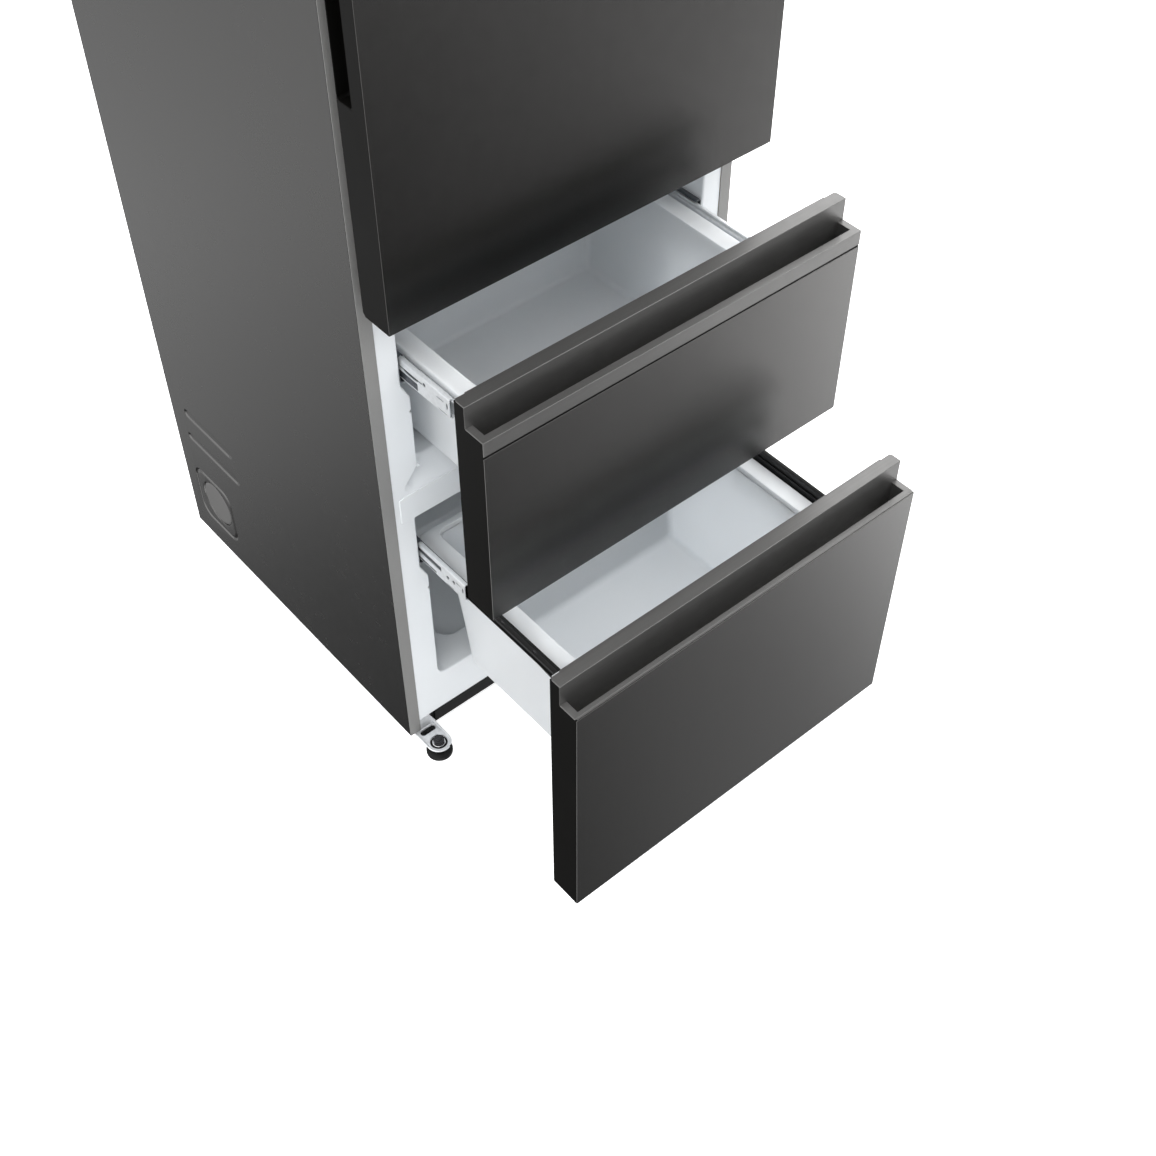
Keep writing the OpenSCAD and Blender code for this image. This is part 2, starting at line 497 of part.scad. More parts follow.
module drawer_foam(e, z0, zl) bx(-hw + 2, hw - 2, -e - front_t + 1.2, -e - 3, z0 + 2, zl - 42);
module drawer_liner(e, z0, zl) union() {
  bx(-hw + 2, hw - 2, -e - 3, -e, z0 + 2, zl - 42);
  difference() {
    yex(-e - 0.1, -e + 12) rr(-236, z0 + 22, 236, zl - 46, 14);
    yex(-e - 1, -e + 9.5) rr(-233.5, z0 + 24.5, 233.5, zl - 48.5, 11.5);
  }
}
// its upper run meets the lower edge of the bar above, under the top of the finger wall
module drawer_gasket(e, z0, zt) difference() {
  bx(-284, 284, -e + 0.05, -e + 13.9, z0 + 3, zt - 18);
  bx(-271, 271, -e - 1, -e + 14, z0 + 16, zt - 31);
  // the two hollow chambers of the section
  difference() {
    bx(-281.5, 281.5, -e + 4, -e + 11.5, z0 + 5.5, zt - 20.5);
    bx(-273.5, 273.5, -e + 3, -e + 12, z0 + 13.5, zt - 33.5);
  }
}
// ---------- baskets ----------
module basket_tub(x, y0, y1, z0, z1, w) difference() {
  translate([0, 0, z0]) linear_extrude(z1 - z0) rr(-x - w, y0 - w, x + w, y1 + w, 16);
  translate([0, 0, z0 + w]) linear_extrude(z1 - z0) rr(-x, y0, x, y1, 16 - w);
}
module basket_rim(y0, y1, rim) difference() {
  translate([0, 0, rim - 8.4]) linear_extrude(8.4) rr(-rim_hw, y0, rim_hw, y1, 10);
  translate([0, 0, rim - 9]) linear_extrude(6.4) difference() {
    rr(-rim_hw + 2, y0 + 2, rim_hw - 2, y1 - 2, 8);
    rr(-mouth_hw - 2.6, y0 + 9.4, mouth_hw + 2.6, y1 - 9.4, 14);
  }
  translate([0, 0, rim - 20]) linear_extrude(40) rr(-mouth_hw, y0 + 12, mouth_hw, y1 - 12, 13.4);
}
module upper_basket() P() color(frost) union() {
  y0 = -upper_open - gap + 16; y1 = y0 + basket_l - 20;
  basket_rim(y0, y1, u_rim);
  basket_tub(mouth_hw, y0 + 12, y1 - 12, u_bot, u_rim - 5, 2.6);
}
// leaning back of the deep part, then a shallow part over the machine bay
module lower_tub(y0, y1, w, z0, zs) {
  ys = y0 + 298;
  intersection() {
    translate([0, 0, z0]) linear_extrude(l_rim - z0) rr(-mouth_hw - w, y0 + 12 - w, mouth_hw + w, y0 + 330, 13.4 + w);
    xex(-hw, hw) polygon([[y0, z0 - 1], [ys - 12 + w, z0 - 1], [ys + w, z0 + 12], [ys + 15 + w, 281], [ys + 15 + w, 420], [y0, 420]]);
  }
  translate([0, 0, zs]) linear_extrude(l_rim - zs) rr(-mouth_hw - w, y0 + 12 - w, mouth_hw + w, y1 - 12 + w, 13.4 + w);
}
module lower_basket() P() color(frost) {
  y0 = -lower_open - gap + 16; y1 = y0 + basket_l - 20;
  union() {
    basket_rim(y0, y1, l_rim);
    difference() {
      lower_tub(y0, y1, 2.6, l_bot, 294);
      lower_tub(y0, y1, 0, l_bot + 2.6, 296.6);
      bx(-hw, hw, -lower_open - 100, 100, l_rim - 6, l_rim + 10);
    }
  }
}
// ---------- upper drawer ----------
ue = upper_open + gap;
le = lower_open + gap;
module upper_drawer_panel() P() color("#5a5958") drawer_panel(ue, u_z0, u_zl - 23);
module upper_drawer_frame() P() color(near_black) drawer_frame(ue, u_z0, u_zl, u_zt);
module upper_drawer_handle() P() color(handle_grey) drawer_handle(ue, u_z0, u_zl, u_zt, 21);
module upper_drawer_foam() P() color("#efe3b4") drawer_foam(ue, u_z0, u_zl);
module upper_drawer_liner() P() color(white) drawer_liner(ue, u_z0, u_zl);
module upper_drawer_gasket() P() color("#cfcfcf") drawer_gasket(ue, u_z0, u_zt);
module upper_drawer_rails() P() color(zinc) drawer_rails(ue, u_slide, u_rim);
// ---------- lower drawer ----------
module lower_drawer_panel() P() color("#5a5958") drawer_panel(le, l_z0, l_zl - 0.6);
module lower_drawer_frame() P() color(near_black) drawer_frame(le, l_z0, l_zl, l_zt);
module lower_drawer_handle() P() color(handle_grey) drawer_handle(le, l_z0, l_zl, l_zt, 0);
module lower_drawer_foam() P() color("#efe3b4") drawer_foam(le, l_z0, l_zl);
module lower_drawer_liner() P() color(white) drawer_liner(le, l_z0, l_zl);
module lower_drawer_gasket() P() color("#cfcfcf") drawer_gasket(le, l_z0, l_zt);
module lower_drawer_rails() P() color("#2b2b2b") drawer_rails(le, l_slide, l_rim);

// ---------- door ----------
dy0 = -gap - front_t;
module door_panel() P() color("#2b2b2b") bx(-hw, hw, dy0, dy0 + 1.2, door_z0, door_z1);
module door_frame() P() color(near_black) difference() {
  union() {
    bx(-hw, hw, dy0 + 1.2, -gap, door_z0, door_z0 + 30);
    bx(-hw, hw, dy0 + 1.2, -gap, door_z1 - 24, door_z1);
    bx(hw - 2, hw, dy0 + 1.2, -gap, door_z0, door_z1);
    // left side is drawn in to a finger grip
    difference() {
      bx(-hw, -hw + 24, dy0 + 1.2, -gap, door_z0, door_z1);
      bx(-hw + 2, -hw + 25, dy0, -gap + 1, door_z0 + 30, 1100 - 4);
      bx(-hw + 2, -hw + 25, dy0, -gap + 1, 1500 + 4, door_z1 - 24);
      xex(-hw - 1, -hw + 22) polygon([[-gap + 1, 1104], [dy0 + 22, 1104], [dy0 + 22, 1496], [-gap + 1, 1496]]);
      bx(-hw + 2, -hw + 25, dy0, dy0 + 20, 1100 - 5, 1500 + 5);
    }
  }
  // hollow end caps with hinge bushes
  difference() {
    bx(-hw + 2, hw - 2, dy0, -gap - 2, door_z0 + 2.5, door_z0 + 31);
    translate([hinge_x, hinge_y, door_z0]) cylinder(r = 9, h = 30);
  }
  difference() {
    bx(-hw + 2, hw - 2, dy0, -gap - 2, door_z1 - 25, door_z1 - 2.5);
    translate([hinge_x, hinge_y, door_z1 - 25]) cylinder(r = 9, h = 25);
  }
  translate([hinge_x, hinge_y, door_z0 - 1]) cylinder(r = 5.06, h = 22);
  translate([hinge_x, hinge_y, door_z1 - 20]) cylinder(r = 5.06, h = 22);
  // chamfer on the lower rear edge
  xex(-hw - 1, hw + 1) polygon([[-gap - 5, door_z0 - 1], [-gap + 1, door_z0 - 1], [-gap + 1, door_z0 + 6]]);
}
module door_foam() P() color("#efe3b4") difference() {
  bx(-hw + 2, hw - 2, dy0 + 1.2, -gap - 2, door_z0 + 30, door_z1 - 24);
  bx(-hw, -hw + 24.1, dy0 + 19.9, 0, 1100 - 4.1, 1500 + 4.1);
}
module door_liner() P() color(white) difference() {
  union() {
    bx(-hw + 24.2, hw - 2.1, -gap - 2, -gap, door_z0 + 30.2, door_z1 - 24.2);
    // raised dyke that the bins hang between
    yex(-gap - 1, 24) rr(-236, 892, 236, 1772, 20);
  }
  yex(-gap - 1, 25) rr(-225, 903, 225, 1761, 12);
  yex(-gap - 3, 21.5) difference() { rr(-233.5, 894.5, 233.5, 1769.5, 17.5); rr(-227.5, 900.5, 227.5, 1763.5, 14.5); }
}
module door_gasket() P() color("#b9bbbc") difference() {
  bx(-284, 284, -gap + 0.05, -0.3, door_z0 + 8, door_z1 - 8);
  bx(-270, 270, -gap - 1, 1, door_z0 + 22 + 10, door_z1 - 22);
  difference() {
    bx(-281.5, 281.5, -gap + 4, -2.5, door_z0 + 10.5, door_z1 - 10.5);
    bx(-273, 273, -gap + 3, 0, door_z0 + 29, door_z1 - 19);
  }
}
module bin(z, h, d) difference() {
  translate([0, 0, z]) linear_extrude(h) rr(-224.9, -gap + 0.1, 224.9, d, 14);
  translate([0, 0, z + 2.5]) linear_extrude(h + 60) rr(-222.4, -gap + 2.6, 222.4, d - 2.5, 11.5);
}
module door_bins() P() color("#dfe8ee", 0.6) { bin(1114, 76, 84); bin(1314, 76, 84); bin(1514, 76, 84); bin(912, 70, 40); }

outer_shell();
front_frame();
rear_panel();
cabinet_foam();
fridge_liner();
freezer_liner();
divider_rail();
mullion_cover();
base_tray();
front_base_rail();
foot_brackets();
roller_brackets();
compressor();
condenser();
drip_tray();
compressor_cover();
electronics_box();
cord_gland();
evaporator();
evaporator_cover();
fan_motor();
fridge_air_duct();
led_lamp();
control_panel();
glass_shelves();
shelf_trims();
top_hinge();
hinge_cover();
middle_hinge();
slide_cabinet_members();
evaporator_fan();
crisper_drawer();
front_foot_left();
front_foot_right();
rear_roller_left();
rear_roller_right();
upper_slide_middle();
lower_slide_middle();
door_panel();
door_frame();
door_foam();
door_liner();
door_gasket();
door_bins();
upper_drawer_panel();
upper_drawer_frame();
upper_drawer_handle();
upper_drawer_foam();
upper_drawer_liner();
upper_drawer_gasket();
upper_basket();
upper_drawer_rails();
lower_drawer_panel();
lower_drawer_frame();
lower_drawer_handle();
lower_drawer_foam();
lower_drawer_liner();
lower_drawer_gasket();
lower_basket();
lower_drawer_rails();
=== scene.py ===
import json
import math
import bpy
import bmesh
import numpy as np
from mathutils import Vector, Matrix

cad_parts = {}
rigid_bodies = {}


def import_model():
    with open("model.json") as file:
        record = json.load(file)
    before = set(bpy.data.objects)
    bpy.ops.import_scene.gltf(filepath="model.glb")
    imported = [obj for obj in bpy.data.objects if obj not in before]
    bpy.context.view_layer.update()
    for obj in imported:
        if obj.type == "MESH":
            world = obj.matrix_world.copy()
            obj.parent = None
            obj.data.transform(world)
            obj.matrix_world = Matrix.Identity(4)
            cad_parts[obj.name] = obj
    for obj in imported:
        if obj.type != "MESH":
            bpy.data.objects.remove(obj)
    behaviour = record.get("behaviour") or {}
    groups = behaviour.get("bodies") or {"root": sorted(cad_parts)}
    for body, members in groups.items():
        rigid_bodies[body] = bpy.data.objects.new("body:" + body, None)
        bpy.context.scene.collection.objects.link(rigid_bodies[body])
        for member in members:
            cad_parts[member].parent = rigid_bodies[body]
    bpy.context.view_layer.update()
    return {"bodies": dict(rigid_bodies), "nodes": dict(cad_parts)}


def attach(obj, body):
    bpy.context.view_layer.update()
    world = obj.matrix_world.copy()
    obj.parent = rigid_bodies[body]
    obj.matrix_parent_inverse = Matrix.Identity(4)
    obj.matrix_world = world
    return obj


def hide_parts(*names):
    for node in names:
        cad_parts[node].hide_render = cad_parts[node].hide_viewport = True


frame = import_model()

# ------------------------------------------------------------------ camera
AZ, EL = math.radians(-40.377), math.radians(47.932)
back = Vector((math.sin(AZ) * math.cos(EL), -math.cos(AZ) * math.cos(EL), math.sin(EL)))
right = Vector((0, 0, 1)).cross(back).normalized()
up = back.cross(right)
cam_data = bpy.data.cameras.new("camera")
cam_data.lens = 50.25
cam_data.sensor_width = 36.0
cam_data.sensor_fit = "HORIZONTAL"
cam_data.clip_start = 0.02
cam_data.clip_end = 60
cam = bpy.data.objects.new("camera", cam_data)
bpy.context.scene.collection.objects.link(cam)
cam.matrix_world = Matrix((
    (right.x, up.x, back.x, -1.04279),
    (right.y, up.y, back.y, -1.37034),
    (right.z, up.z, back.z, 1.98045),
    (0, 0, 0, 1)))
bpy.context.scene.camera = cam

# ------------------------------------------------------------------ measures (mm, flange plane at y = 0)
OY = 107.5
HW = 297.5
UO, LO, GAP, FT = 164.3, 320.1, 14.2, 49.7
UE, LE = UO + GAP, LO + GAP
DY0 = -GAP - FT


def S(p):
    return ((p[0]) * 0.001, (p[1] - OY) * 0.001, p[2] * 0.001)


# ------------------------------------------------------------------ mesh helpers
def finish_mesh(bm, name, mat, body, sharp=32, weighted=None, scale=True, recalc=True):
    if scale:
        for v in bm.verts:
            v.co = S(v.co)
    bmesh.ops.remove_doubles(bm, verts=bm.verts, dist=1e-6)
    if recalc:
        bmesh.ops.recalc_face_normals(bm, faces=bm.faces)
    me = bpy.data.meshes.new(name)
    bm.to_mesh(me)
    bm.free()
    for p in me.polygons:
        p.use_smooth = True
    me.set_sharp_from_angle(angle=math.radians(sharp))
    ob = bpy.data.objects.new(name, me)
    bpy.context.scene.collection.objects.link(ob)
    if mat is not None:
        for one in (mat if isinstance(mat, (list, tuple)) else [mat]):
            me.materials.append(one)
    if weighted or (weighted is None and name != "t"):
        md = ob.modifiers.new("w", "WEIGHTED_NORMAL")
        md.keep_sharp = True
        apply_mods(ob)
    if body:
        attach(ob, body)
    return ob


def apply_mods(ob):
    bpy.context.view_layer.update()
    dg = bpy.context.evaluated_depsgraph_get()
    me = bpy.data.meshes.new_from_object(ob.evaluated_get(dg), preserve_all_data_layers=True, depsgraph=dg)
    old = ob.data
    ob.modifiers.clear()
    ob.data = me
    me.name = old.name
    return ob


def add_box(bm, x0, x1, y0, y1, z0, z1):
    v = [bm.verts.new(p) for p in ((x0, y0, z0), (x1, y0, z0), (x1, y1, z0), (x0, y1, z0), (x0, y0, z1), (x1, y0, z1), (x1, y1, z1), (x0, y1, z1))]
    for f in ((0, 3, 2, 1), (4, 5, 6, 7), (0, 1, 5, 4), (1, 2, 6, 5), (2, 3, 7, 6), (3, 0, 4, 7)):
        bm.faces.new([v[i] for i in f])
    return v


def add_prism(bm, pts, axis, a0, a1):
    """Extrudes an outline. axis x: points are (y, z); y: (x, z); z: (x, y)."""
    def P(p, a):
        return {"x": (a, p[0], p[1]), "y": (p[0], a, p[1]), "z": (p[0], p[1], a)}[axis]
    lo = [bm.verts.new(P(p, a0)) for p in pts]
    hi = [bm.verts.new(P(p, a1)) for p in pts]
    n = len(pts)
    f = [bm.faces.new(lo), bm.faces.new(list(reversed(hi)))]
    for i in range(n):
        j = (i + 1) % n
        f.append(bm.faces.new((lo[i], hi[i], hi[j], lo[j])))
    return f


def soften(bm, width, segments=2, angle=28, only=None):
    bmesh.ops.remove_doubles(bm, verts=bm.verts, dist=1e-5)
    bmesh.ops.recalc_face_normals(bm, faces=bm.faces)
    edges = [e for e in bm.edges if len(e.link_faces) == 2 and e.calc_face_angle(0) > math.radians(angle) and (only is None or only(e))]
    if edges:
        bmesh.ops.bevel(bm, geom=edges, offset=width, segments=segments, profile=0.5, affect="EDGES", clamp_overlap=True)


def rr(x0, y0, x1, y1, r, n=6):
    """Rounded rectangle as a counter-clockwise list of points."""
    out = []
    for cx, cy, a in ((x1 - r, y1 - r, 0), (x0 + r, y1 - r, 90), (x0 + r, y0 + r, 180), (x1 - r, y0 + r, 270)):
        for i in range(n + 1):
            t = math.radians(a + 90 * i / n)
            out.append((cx + r * math.cos(t), cy + r * math.sin(t)))
    return out


def rounded(pts, radii, g=0.0, n=5):
    """Outline with filleted corners, grown outwards by g, always with the same number of points."""
    m = len(pts)
    P = [Vector(p) for p in pts]
    area = sum(P[i].x * P[(i + 1) % m].y - P[(i + 1) % m].x * P[i].y for i in range(m))
    if area < 0:
        P.reverse()
        radii = list(reversed(radii))
    lines = []
    for i in range(m):
        a, b = P[i], P[(i + 1) % m]
        d = (b - a).normalized()
        nrm = Vector((d.y, -d.x))
        lines.append((a + nrm * g, d))
    V = []
    for i in range(m):
        (a, d), (b, e) = lines[i - 1], lines[i]
        den = d.x * e.y - d.y * e.x
        if abs(den) < 1e-9:
            V.append(b.copy())
            continue
        t = ((b.x - a.x) * e.y - (b.y - a.y) * e.x) / den
        V.append(a + d * t)
    out = []
    for i in range(m):
        p, a, b = V[i], V[i - 1], V[(i + 1) % m]
        u, w = (a - p).normalized(), (b - p).normalized()
        convex = (p - a).x * (b - p).y - (p - a).y * (b - p).x > 0
        r = max(0.05, radii[i] + (g if convex else -g)) if radii[i] > 0 else 0.05
        half = math.acos(max(-1, min(1, u.dot(w)))) / 2
        if half > math.radians(89.5):
            out += [tuple(p)] * (n + 1)
            continue
        t = min(r / math.tan(half), (a - p).length * 0.49, (b - p).length * 0.49)
        r = t * math.tan(half)
        c = p + (u + w).normalized() * (r / math.sin(half))
        s, e = p + u * t, p + w * t
        a0, a1 = math.atan2(s.y - c.y, s.x - c.x), math.atan2(e.y - c.y, e.x - c.x)
        while a1 - a0 > math.pi:
            a1 -= 2 * math.pi
        while a1 - a0 < -math.pi:
            a1 += 2 * math.pi
        for k in range(n + 1):
            q = a0 + (a1 - a0) * k / n
            out.append((c.x + r * math.cos(q), c.y + r * math.sin(q)))
    return out


def ring(bm, pts3):
    return [bm.verts.new(p) for p in pts3]


def bridge(bm, a, b, skip=(), closed=True):
    n = len(a)
    for i in range(n if closed else n - 1):
        if i in skip:
            continue
        j = (i + 1) % n
        quad = [a[i], a[j], b[j], b[i]]
        if len(set(quad)) == 4 and (a[i].co - a[j].co).length + (b[i].co - b[j].co).length > 1e-7:
            bm.faces.new(quad)


def loft(bm, loops, cap0=False, cap1=False, skip=()):
    rings = [ring(bm, l) for l in loops]
    for a, b in zip(rings, rings[1:]):
        bridge(bm, a, b, skip)
    if cap0:
        bm.faces.new(list(reversed(rings[0])))
    if cap1:
        bm.faces.new(rings[-1])
    return rings


def fill(bm, loops):
    """Fills the flat area between an outer ring of vertices and the rings of its holes."""
    edges = []
    for l in loops:
        for i in range(len(l)):
            a, b = l[i], l[(i + 1) % len(l)]
            if (a.co - b.co).length < 1e-7:
                continue
            edges.append(bm.edges.get((a, b)) or bm.edges.new((a, b)))
    return bmesh.ops.triangle_fill(bm, use_beauty=True, use_dissolve=False, edges=edges)["geom"]


def xz(pts, y):
    return [(p[0], y, p[1]) for p in pts]


def xy(pts, z):
    return [(p[0], p[1], z) for p in pts]


def yz(pts, x):
    return [(x, p[0], p[1]) for p in pts]


def circle(r, n=32, a0=0.0):
    return [(r * math.cos(a0 + 2 * math.pi * i / n), r * math.sin(a0 + 2 * math.pi * i / n)) for i in range(n)]


def lathe(bm, prof, centre, axis="z", n=40):
    """Turns (radius, height) points round an axis through centre."""
    rings = []
    for r, h in prof:
        pts = []
        for i in range(n):
            t = 2 * math.pi * i / n
            u, v = r * math.cos(t), r * math.sin(t)
            d = {"z": (u, v, h), "x": (h, u, v), "y": (u, h, v)}[axis]
            pts.append((centre[0] + d[0], centre[1] + d[1], centre[2] + d[2]))
        rings.append(pts)
    vr = []
    for (r, h), pts in zip(prof, rings):
        if r < 1e-6:
            vr.append([bm.verts.new(pts[0])])
        else:
            vr.append([bm.verts.new(p) for p in pts])
    for a, b in zip(vr, vr[1:]):
        for i in range(n):
            j = (i + 1) % n
            if len(a) == 1 and len(b) == 1:
                continue
            if len(a) == 1:
                bm.faces.new((a[0], b[j], b[i]))
            elif len(b) == 1:
                bm.faces.new((a[i], a[j], b[0]))
            else:
                bm.faces.new((a[i], a[j], b[j], b[i]))


def cut(ob, cutter_bms, op="DIFFERENCE"):
    """Exact boolean of an object with meshes given in mm."""
    made = []
    for k, bm in enumerate(cutter_bms):
        for v in bm.verts:
            v.co = S(v.co)
        bmesh.ops.recalc_face_normals(bm, faces=bm.faces)
        me = bpy.data.meshes.new("cutter")
        bm.to_mesh(me)
        bm.free()
        c = bpy.data.objects.new("cutter%d" % k, me)
        bpy.context.scene.collection.objects.link(c)
        md = ob.modifiers.new("b%d" % k, "BOOLEAN")
        md.operation = op
        md.solver = "EXACT"
        md.use_hole_tolerant = op == "UNION"
        md.object = c
        made.append(c)
    apply_mods(ob)
    for c in made:
        bpy.data.objects.remove(c)
    return ob


def to_bm(ob, clean=True):
    bm = bmesh.new()
    bm.from_mesh(ob.data)
    for v in bm.verts:
        v.co = Vector((v.co.x * 1000, v.co.y * 1000 + OY, v.co.z * 1000))
    bpy.data.objects.remove(ob)
    if clean:
        bmesh.ops.remove_doubles(bm, verts=bm.verts, dist=1e-3)
        bmesh.ops.dissolve_limit(bm, angle_limit=math.radians(0.6), verts=bm.verts, edges=bm.edges)
    return bm


def box_bm(*b):
    bm = bmesh.new()
    add_box(bm, *b)
    return bm


# ------------------------------------------------------------------ materials
class Nodes:
    def __init__(self, name):
        self.mat = bpy.data.materials.new(name)
        self.mat.use_nodes = True
        self.nt = self.mat.node_tree
        self.nt.nodes.clear()
        self.out = self.add("ShaderNodeOutputMaterial")

    def add(self, kind, **props):
        n = self.nt.nodes.new(kind)
        for k, v in props.items():
            setattr(n, k, v)
        return n

    def link(self, a, b):
        self.nt.links.new(a, b)


def coords(N, scale=(1, 1, 1), rot=(0, 0, 0)):
    tc = N.add("ShaderNodeTexCoord")
    mp = N.add("ShaderNodeMapping")
    mp.inputs["Scale"].default_value = scale
    mp.inputs["Rotation"].default_value = rot
    N.link(tc.outputs["Object"], mp.inputs["Vector"])
    return mp.outputs["Vector"]


def noise(N, vec, scale, detail=3, rough=0.55):
    n = N.add("ShaderNodeTexNoise")
    n.inputs["Scale"].default_value = scale
    n.inputs["Detail"].default_value = detail
    n.inputs["Roughness"].default_value = rough
    N.link(vec, n.inputs["Vector"])
    return n.outputs["Fac"]


def remap(N, fac, a, b, lo=0.3, hi=0.7):
    r = N.add("ShaderNodeMapRange")
    r.inputs["From Min"].default_value = lo
    r.inputs["From Max"].default_value = hi
    r.inputs["To Min"].default_value = a
    r.inputs["To Max"].default_value = b
    N.link(fac, r.inputs["Value"])
    return r.outputs["Result"]


def tint(N, fac, c0, c1, lo=0.3, hi=0.7):
    r = N.add("ShaderNodeValToRGB")
    r.color_ramp.elements[0].position = lo
    r.color_ramp.elements[0].color = (*c0, 1)
    r.color_ramp.elements[1].position = hi
    r.color_ramp.elements[1].color = (*c1, 1)
    N.link(fac, r.inputs["Fac"])
    return r.outputs["Color"]


def bump(N, fac, strength, dist, normal=None):
    b = N.add("ShaderNodeBump")
    b.inputs["Strength"].default_value = strength
    b.inputs["Distance"].default_value = dist
    N.link(fac, b.inputs["Height"])
    if normal is not None:
        N.link(normal, b.inputs["Normal"])
    return b.outputs["Normal"]


def principled(N, metallic=0.0, spec=0.5, coat=0.0, coat_rough=0.1, ior=1.5, aniso=0.0):
    p = N.add("ShaderNodeBsdfPrincipled")
    p.inputs["Metallic"].default_value = metallic
    p.inputs["Specular IOR Level"].default_value = spec
    p.inputs["Coat Weight"].default_value = coat
    p.inputs["Coat Roughness"].default_value = coat_rough
    p.inputs["IOR"].default_value = ior
    p.inputs["Anisotropic"].default_value = aniso
    N.link(p.outputs["BSDF"], N.out.inputs["Surface"])
    return p


def brushed_metal(name, c, metallic, r0, r1, grain=(1, 1, 1), grain_strength=0.06, vary=0.06, coat=0.0, spec=0.5):
    """Coated sheet metal with a fine grain, slight clouding and faint handling marks in the gloss."""
    N = Nodes(name)
    p = principled(N, metallic, spec, coat, 0.25)
    g = noise(N, coords(N, grain), 900, 2, 0.6)
    cloud = noise(N, coords(N), 4.5, 4, 0.6)
    fine = noise(N, coords(N), 60, 3, 0.6)
    dark = tuple(x * (1 - vary) for x in c)
    lite = tuple(min(1, x * (1 + vary)) for x in c)
    N.link(tint(N, g, dark, lite, 0.35, 0.65), p.inputs["Base Color"])
    add = N.add("ShaderNodeMath", operation="MULTIPLY")
    N.link(remap(N, cloud, r0, r1), add.inputs[0])
    N.link(remap(N, fine, 0.94, 1.06), add.inputs[1])
    N.link(add.outputs[0], p.inputs["Roughness"])
    N.link(bump(N, g, grain_strength, 0.00004), p.inputs["Normal"])
    return N.mat


def plastic(name, c, rough=0.35, spec=0.45, vary=0.02, texture=0.10, tex_scale=1400, sss=0.0, coat=0.0):
    """Moulded plastic with a fine eroded texture and slow colour drift."""
    N = Nodes(name)
    p = principled(N, 0.0, spec, coat, 0.15)
    a = noise(N, coords(N), tex_scale, 2, 0.5)
    b = noise(N, coords(N), 7, 3, 0.6)
    dark = tuple(x * (1 - vary) for x in c)
    N.link(tint(N, b, dark, c), p.inputs["Base Color"])
    N.link(remap(N, b, rough * 0.9, rough * 1.12), p.inputs["Roughness"])
    N.link(bump(N, a, texture, 0.00005), p.inputs["Normal"])
    if sss:
        p.inputs["Subsurface Weight"].default_value = sss
        p.inputs["Subsurface Radius"].default_value = (0.004, 0.004, 0.0045)
        p.inputs["Subsurface Scale"].default_value = 1.0
    return N.mat


def clear(name, c, rough, alpha_like, texture=0.1, ior=1.45, spec=0.5, scale=900):
    """Translucent moulded plastic or glass: part of the light passes through."""
    N = Nodes(name)
    p = principled(N, 0.0, spec, ior=ior)
    p.inputs["Transmission Weight"].default_value = alpha_like
    a = noise(N, coords(N), scale, 2, 0.5)
    b = noise(N, coords(N), 9, 3, 0.6)
    dark = tuple(x * 0.96 for x in c)
    N.link(tint(N, b, dark, c), p.inputs["Base Color"])
    N.link(remap(N, b, rough * 0.9, rough * 1.1), p.inputs["Roughness"])
    N.link(bump(N, a, texture, 0.00005), p.inputs["Normal"])
    return N.mat


def frosted(name, c, rough):
    """Milky moulded plastic: light wanders through the thin walls."""
    N = Nodes(name)
    p = principled(N, 0.0, 0.45)
    a = noise(N, coords(N), 900, 2, 0.5)
    b = noise(N, coords(N), 9, 3, 0.6)
    N.link(tint(N, b, tuple(x * 0.975 for x in c), c), p.inputs["Base Color"])
    N.link(remap(N, b, rough * 0.9, rough * 1.1), p.inputs["Roughness"])
    N.link(bump(N, a, 0.10, 0.00005), p.inputs["Normal"])
    p.inputs["Subsurface Weight"].default_value = 0.7
    p.inputs["Subsurface Radius"].default_value = (0.012, 0.0125, 0.013)
    p.inputs["Subsurface Scale"].default_value = 1.0
    return N.mat


def metal(name, c, r0, r1, vary=0.08, spangle=0.0, metallic=1.0):
    """Bare, plated or galvanised metal with a mottled finish."""
    N = Nodes(name)
    p = principled(N, metallic, 0.5)
    v = N.add("ShaderNodeTexVoronoi")
    v.inputs["Scale"].default_value = 160 if spangle else 420
    N.link(coords(N), v.inputs["Vector"])
    b = noise(N, coords(N), 35, 4, 0.65)
    mixd = N.add("ShaderNodeMix", data_type="FLOAT")
    mixd.inputs[0].default_value = 0.6 if spangle else 0.2
    N.link(b, mixd.inputs[2])
    N.link(v.outputs["Distance"], mixd.inputs[3])
    dark = tuple(x * (1 - vary) for x in c)
    lite = tuple(min(1, x * (1 + vary * 0.6)) for x in c)
    N.link(tint(N, mixd.outputs[0], dark, lite, 0.2, 0.8), p.inputs["Base Color"])
    N.link(remap(N, b, r0, r1), p.inputs["Roughness"])
    N.link(bump(N, b, 0.08, 0.0001), p.inputs["Normal"])
    return N.mat


def foam_mat(name):
    N = Nodes(name)
    p = principled(N, 0.0, 0.2)
    v = N.add("ShaderNodeTexVoronoi")
    v.inputs["Scale"].default_value = 700
    N.link(coords(N), v.inputs["Vector"])
    b = noise(N, coords(N), 30, 4, 0.6)
    N.link(tint(N, b, (0.72, 0.58, 0.30), (0.86, 0.74, 0.44)), p.inputs["Base Color"])
    p.inputs["Roughness"].default_value = 0.95
    N.link(bump(N, v.outputs["Distance"], 0.5, 0.0008), p.inputs["Normal"])
    return N.mat


def lamp_mat(name):
    N = Nodes(name)
    p = principled(N, 0.0, 0.4)
    b = noise(N, coords(N), 600, 2, 0.5)
    N.link(tint(N, b, (0.88, 0.88, 0.84), (0.95, 0.95, 0.92)), p.inputs["Base Color"])
    p.inputs["Roughness"].default_value = 0.4
    p.inputs["Emission Color"].default_value = (1.0, 0.97, 0.9, 1)
    p.inputs["Emission Strength"].default_value = 0.35
    N.link(bump(N, b, 0.2, 0.0001), p.inputs["Normal"])
    return N.mat


